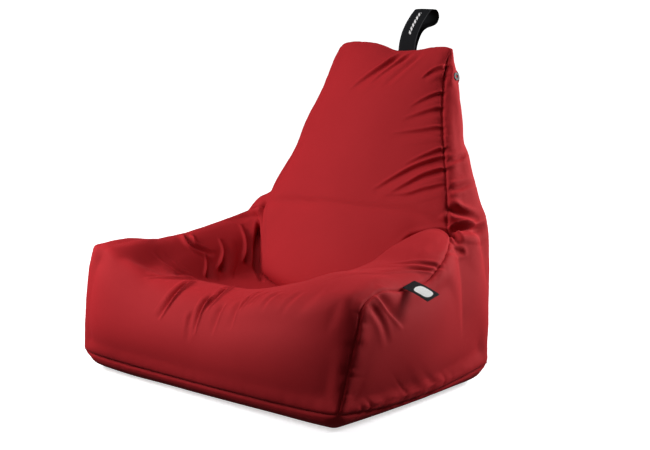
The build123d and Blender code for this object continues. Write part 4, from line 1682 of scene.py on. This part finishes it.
@dataclass
class CarryHandle:
    """A strap folded into a loop, both ends sewn into the top seam.

    The profile is in the plane across the chair, in metres from the hinge line: to the rear and up.
    """

    width: float = 0.062
    thickness: float = 0.0024
    profile: tuple[tuple[float, float], ...] = (
        (-0.0035, -0.026), (-0.002, -0.010), (0.0015, 0.008), (0.010, 0.031), (0.022, 0.054), (0.038, 0.077),
        (0.055, 0.095), (0.070, 0.1045), (0.086, 0.1045), (0.099, 0.096), (0.105, 0.082), (0.102, 0.069),
        (0.092, 0.060), (0.076, 0.0555), (0.058, 0.0525), (0.043, 0.047), (0.030, 0.037), (0.019, 0.022),
        (0.011, 0.007), (0.0055, -0.010), (0.002, -0.026),
    )
    sway: float = -0.008
    bend_from: float = -0.004
    bend_to: float = 0.022
    patch_inset: float = 0.010
    patch_thickness: float = 0.0012

    def build(self) -> None:
        """Makes the strap, bent over the seam's hinge, and the patch that backs it inside."""
        joint = next(j for j in frame["joints"] if j["name"] == "handle_flex")
        root = np.array(joint["pos_m"])
        profile = np.array(self.profile)
        aside = self.sway * (1.0 - smooth_step(profile[:, 1], 0.03, 0.11))
        line = through(np.column_stack([aside, profile]), 150) + root
        across = np.array([1.0, 0, 0])
        band = ribbon("webbing_handle", line, across, np.full(len(line), self.width), self.thickness)
        strap = place("webbing_handle", band, Webbing().material())
        stand_for(strap, "carry_handle", body=None)
        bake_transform(strap)
        low, high = (np.array(c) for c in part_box("handle_anchor_patch"))
        z = np.linspace(low[2] - 0.014, high[2] - 0.018, 12)
        middle = np.column_stack([np.full(12, root[0]), rear_plane(z) - self.patch_inset, z])
        band = ribbon("handle_backing", middle, across, np.full(12, high[0] - low[0]), self.patch_thickness)
        plain = Webbing("backing_webbing", dashes_from=9.0, dashes_to=9.0)
        patch = place("handle_backing", band, plain.material())
        stand_for(patch, "handle_anchor_patch")
        LOG.info("handle: %d faces", len(strap.data.polygons))


@dataclass
class SideLabel:
    """A folded cloth label sewn into the arm's seam, with a plain rounded white motif on it."""

    width: float = 0.052
    length: float = 0.082
    thickness: float = 0.0016
    droop: float = math.radians(17.0)
    curl: float = math.radians(14.0)
    motif_from: float = 0.024
    motif_to: float = 0.074
    motif_width: float = 0.034

    def middle(self, low: float, high: float, count: int) -> tuple[np.ndarray, np.ndarray]:
        """The label's middle line between two runs, and its upward direction.

        The line leaves the seam at the droop's slope and bends down evenly by the curl.

        Args:
            low, high: runs from the seam, in metres.
            count: how many points.

        Returns:
            The points and the upward direction at each.
        """
        joint = next(j for j in frame["joints"] if j["name"] == "label_flex")
        root, seam = np.array(joint["pos_m"]), unit(np.array(joint["axis"]))
        out = unit(np.cross(seam, [0.0, 0.0, 1.0]))
        up = unit(np.cross(out, seam))
        run = np.linspace(0.0, self.length, 200)
        slope = self.droop + self.curl * (run / self.length - 0.4)
        step = self.length / 199
        steps = out * np.cos(slope)[:, None] - up * np.sin(slope)[:, None]
        line = root + np.concatenate([np.zeros((1, 3)), np.cumsum(steps[:-1] * step, axis=0)])
        at = np.linspace(low, high, count)
        read = np.stack([np.interp(at, run, line[:, k]) for k in range(3)], axis=1)
        slopes = np.interp(at, run, slope)
        return read, up * np.cos(slopes)[:, None] + out * np.sin(slopes)[:, None]

    def build(self) -> None:
        """Makes the label and its motif."""
        seam = unit(np.array(next(j for j in frame["joints"] if j["name"] == "label_flex")["axis"]))
        line, _ = self.middle(0.0, self.length, 28)
        band = ribbon("side_tag", line, seam, np.full(28, self.width), self.thickness)
        label = place("side_tag", band, SATIN_LABEL.material())
        line, up = self.middle(self.motif_from, self.motif_to, 28)
        share = np.linspace(-1.0, 1.0, 28)
        width = self.motif_width * np.sqrt(1.0 - 0.985 * np.abs(share) ** 5.0)
        motif = ribbon("tag_motif", line + up * (self.thickness / 2), seam, width, 0.0006)
        motif = place("tag_motif", motif, WHITE_WEAVE.material())
        stand_for(label, "side_label", body="label")
        stand_for(motif, "label_patch", body="label")
        LOG.info("label: %d faces", len(label.data.polygons))


@dataclass
class RearZip:
    """The zip low on the back: its coils as rows of small rounded loops."""

    pitch: float = 0.0020
    sides: int = 6
    wide: float = 0.00078
    thick: float = 0.00100
    half: float = 0.00105

    def coil(self, node: str) -> np.ndarray:
        """Middle line of a coil's strip.

        Args:
            node: the coil's node.

        Returns:
            Two points, at the ends of the node's box.
        """
        low, high = (np.array(c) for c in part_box(node))
        middle = (low + high) / 2
        return np.array([[low[0], middle[1], middle[2]], [high[0], middle[1], middle[2]]])

    def loops(self, node: str, name: str) -> bpy.types.Object:
        """A row of loops along a coil.

        Each loop is a short rounded bar across the zip: a grid of a few rings round the bar's line,
        its radius falling to its ends as the square root of one less the share squared.

        Args:
            node: the coil's node.
            name: name of the new piece.

        Returns:
            The piece.
        """
        ends = self.coil(node)
        count = int((ends[1, 0] - ends[0, 0]) / self.pitch)
        centres = ends[0, 0] + self.pitch * (np.arange(count) + 0.5)
        up = unit(np.array([0.0, REAR_LEAN, 1.0]))
        out = unit(np.array([0.0, 1.0, -REAR_LEAN]))
        share = np.array([-1.0, -0.85, -0.4, 0.4, 0.85, 1.0])
        turn = np.linspace(0, 2 * math.pi, self.sides, endpoint=False)
        size = np.sqrt(1.0 - 0.97 * share**2)
        ring = up * (self.half * share)[:, None, None]
        ring = ring + out * (self.thick * size[:, None] * np.sin(turn))[..., None]
        ring = ring + np.array([1.0, 0, 0]) * (self.wide * size[:, None] * np.cos(turn))[..., None]
        one = ring.reshape(-1, 3)
        faces = grid_faces(len(share) - 1, self.sides, closed=True)
        middles = np.stack([centres, np.full(count, ends[0, 1]), np.full(count, ends[0, 2])], axis=1)
        points = (middles[:, None] + one[None]).reshape(-1, 3)
        quads = (np.arange(count)[:, None, None] * len(one) + faces[None]).reshape(-1, 4)
        lid = np.array([[0, 1, 2, 3], [0, 3, 4, 5]])
        both = np.concatenate([lid[:, ::-1], lid + len(one) - self.sides])
        lids = (np.arange(count)[:, None, None] * len(one) + both[None]).reshape(-1, 4)
        mesh = make_mesh(name, points, np.concatenate([quads, lids]))
        turn_outwards(mesh)
        return place(name, mesh, ZIP_NYLON.material())

    def build(self) -> None:
        """Makes both coils."""
        for side in ("upper", "lower"):
            piece = self.loops(f"zip_coil_{side}", f"zip_loops_{side}")
            stand_for(piece, f"zip_coil_{side}")
            LOG.info("zip loops %s: %d faces", side, len(piece.data.polygons))


def dress_nodes(cloth: bpy.types.Material) -> None:
    """Gives the frame's own nodes their finishes, where they stay in view or inside.

    Args:
        cloth: the cover's material, for the zip's guard.
    """
    finishes = {
        "zip_tape_upper": ZIP_TAPE.material(),
        "zip_slider": DARK_NICKEL.material(),
        "zip_guard": cloth,
        "vent_eyelet_left": BLACK_LACQUER.material(),
        "vent_mesh_left": FINE_NET.material(),
        "liner_hook_strip": GRIP_TAPE.material(),
    }
    same = {
        "zip_tape_lower": "zip_tape_upper",
        "zip_stops": "zip_slider",
        "vent_eyelet_right": "vent_eyelet_left",
        "vent_washer_left": "vent_eyelet_left",
        "vent_washer_right": "vent_eyelet_left",
        "vent_mesh_right": "vent_mesh_left",
        "liner_loop_strip": "liner_hook_strip",
    }
    finishes |= {node: finishes[other] for node, other in same.items()}
    for node, finish in finishes.items():
        slots = frame["nodes"][node].material_slots
        for index in range(len(slots)):
            slots[index].material = finish
        LOG.info("%s: %s", node, finish.name)


# ---- The studio ----------------------------------------------------------------------------------


@dataclass(frozen=True)
class SoftLight:
    """A square soft box: its place, the point it faces, its width in metres and its power."""

    name: str
    place: tuple[float, float, float]
    toward: tuple[float, float, float]
    width: float
    power: float

    def add(self) -> None:
        """Puts the light in the scene, turned so that its face looks at the point."""
        data = bpy.data.lights.new(self.name, "AREA")
        data.energy, data.size = self.power, self.width
        light = bpy.data.objects.new(self.name, data)
        bpy.context.scene.collection.objects.link(light)
        light.location = self.place
        aim = unit(np.array(self.place) - np.array(self.toward))
        light.rotation_euler = (math.acos(aim[2]), 0.0, math.atan2(aim[0], -aim[1]))


@dataclass
class Studio:
    """Pale floor, white surroundings, soft lights and the camera."""

    camera_place: tuple[float, float, float] = (2.809, -3.045, 1.177)
    azimuth: float = 41.07
    elevation: float = 10.31
    focal_length: float = 85.0
    floor_color: tuple[float, float, float] = (0.83, 0.82, 0.845)
    floor_glow: float = 0.60
    wall_glow: float = 1.1
    glow_span: tuple[float, float] = (0.6, 2.5)
    ambient: float = 0.075
    lights: tuple[SoftLight, ...] = (
        SoftLight("key", (-1.15, -1.15, 1.15), (-0.25, -0.15, 0.3), 0.9, 33.0),
        SoftLight("side", (1.35, 1.75, 1.2), (0.3, 0.2, 0.3), 0.9, 58.0),
        SoftLight("top", (-0.4, -0.2, 3.4), (0.0, 0.0, 0.3), 1.8, 34.0),
    )

    def add_camera(self) -> None:
        """The camera, looking along its azimuth and down by its elevation."""
        data = bpy.data.cameras.new("camera")
        data.lens = self.focal_length
        data.sensor_width = 36.0
        camera = bpy.data.objects.new("camera", data)
        bpy.context.scene.collection.objects.link(camera)
        camera.location = self.camera_place
        camera.rotation_euler = (math.radians(90 - self.elevation), 0.0, math.radians(self.azimuth))
        bpy.context.scene.camera = camera

    def add_floor(self) -> None:
        """A round floor that curves up into a wall: a level run, a quarter circle and a rise."""
        turn = np.linspace(0, math.pi / 2, 17)
        radius, level, top = 4.0, 12.0, 14.0
        sweep = np.stack([level + radius * np.sin(turn), radius * (1 - np.cos(turn))], axis=1)
        profile = np.concatenate([[[0.0, 0.0]], sweep, [[level + radius, top]]])
        around = np.linspace(0, 2 * math.pi, 96, endpoint=False)
        x = profile[:, None, 0] * np.cos(around)
        y = profile[:, None, 0] * np.sin(around)
        z = np.broadcast_to(profile[:, None, 1], x.shape)
        points = np.stack([x, y, z], axis=-1).reshape(-1, 3)
        n = Nodes("studio_floor")
        n.surface(Base_Color=(*self.floor_color, 1.0), Roughness=0.9, Specular_IOR_Level=0.1)
        n.surface(Emission_Color=(1.0, 1.0, 1.0, 1.0))
        away = n.add("ShaderNodeVectorMath", operation="LENGTH")
        n.link(n.add("ShaderNodeTexCoord").outputs["Object"], away.inputs[0])
        near, far = self.glow_span
        glow = n.add(
            "ShaderNodeMapRange", From_Min=near, From_Max=far, To_Min=self.floor_glow, To_Max=self.wall_glow
        )
        n.link(away.outputs["Value"], glow.inputs["Value"])
        n.link(glow.outputs["Result"], n.shader.inputs["Emission Strength"])
        faces = grid_faces(len(profile) - 1, len(around), closed=True)
        floor = place("floor", make_mesh("floor", points, faces), n.material)
        floor.visible_shadow = False
        floor.visible_diffuse = False
        floor.visible_glossy = False

    def build(self) -> None:
        """Sets up the camera, the floor, the lights and the plain view."""
        self.add_camera()
        self.add_floor()
        for light in self.lights:
            light.add()
        world = bpy.data.worlds.new("studio")
        world.use_nodes = True
        background = world.node_tree.nodes["Background"]
        background.inputs["Color"].default_value = (1.0, 1.0, 1.0, 1.0)
        background.inputs["Strength"].default_value = self.ambient
        bpy.context.scene.world = world
        bpy.context.scene.view_settings.view_transform = "Standard"


def main() -> None:
    """Builds the chair piece by piece around the frame."""
    logging.basicConfig(level=logging.INFO, format="%(name)s: %(message)s")
    Studio().build()
    cloth = PolyesterCloth().material()
    BagCover().build(cloth)
    CarryHandle().build()
    SideLabel().build()
    RearZip().build()
    dress_nodes(cloth)


if __name__ == "__main__":
    main()
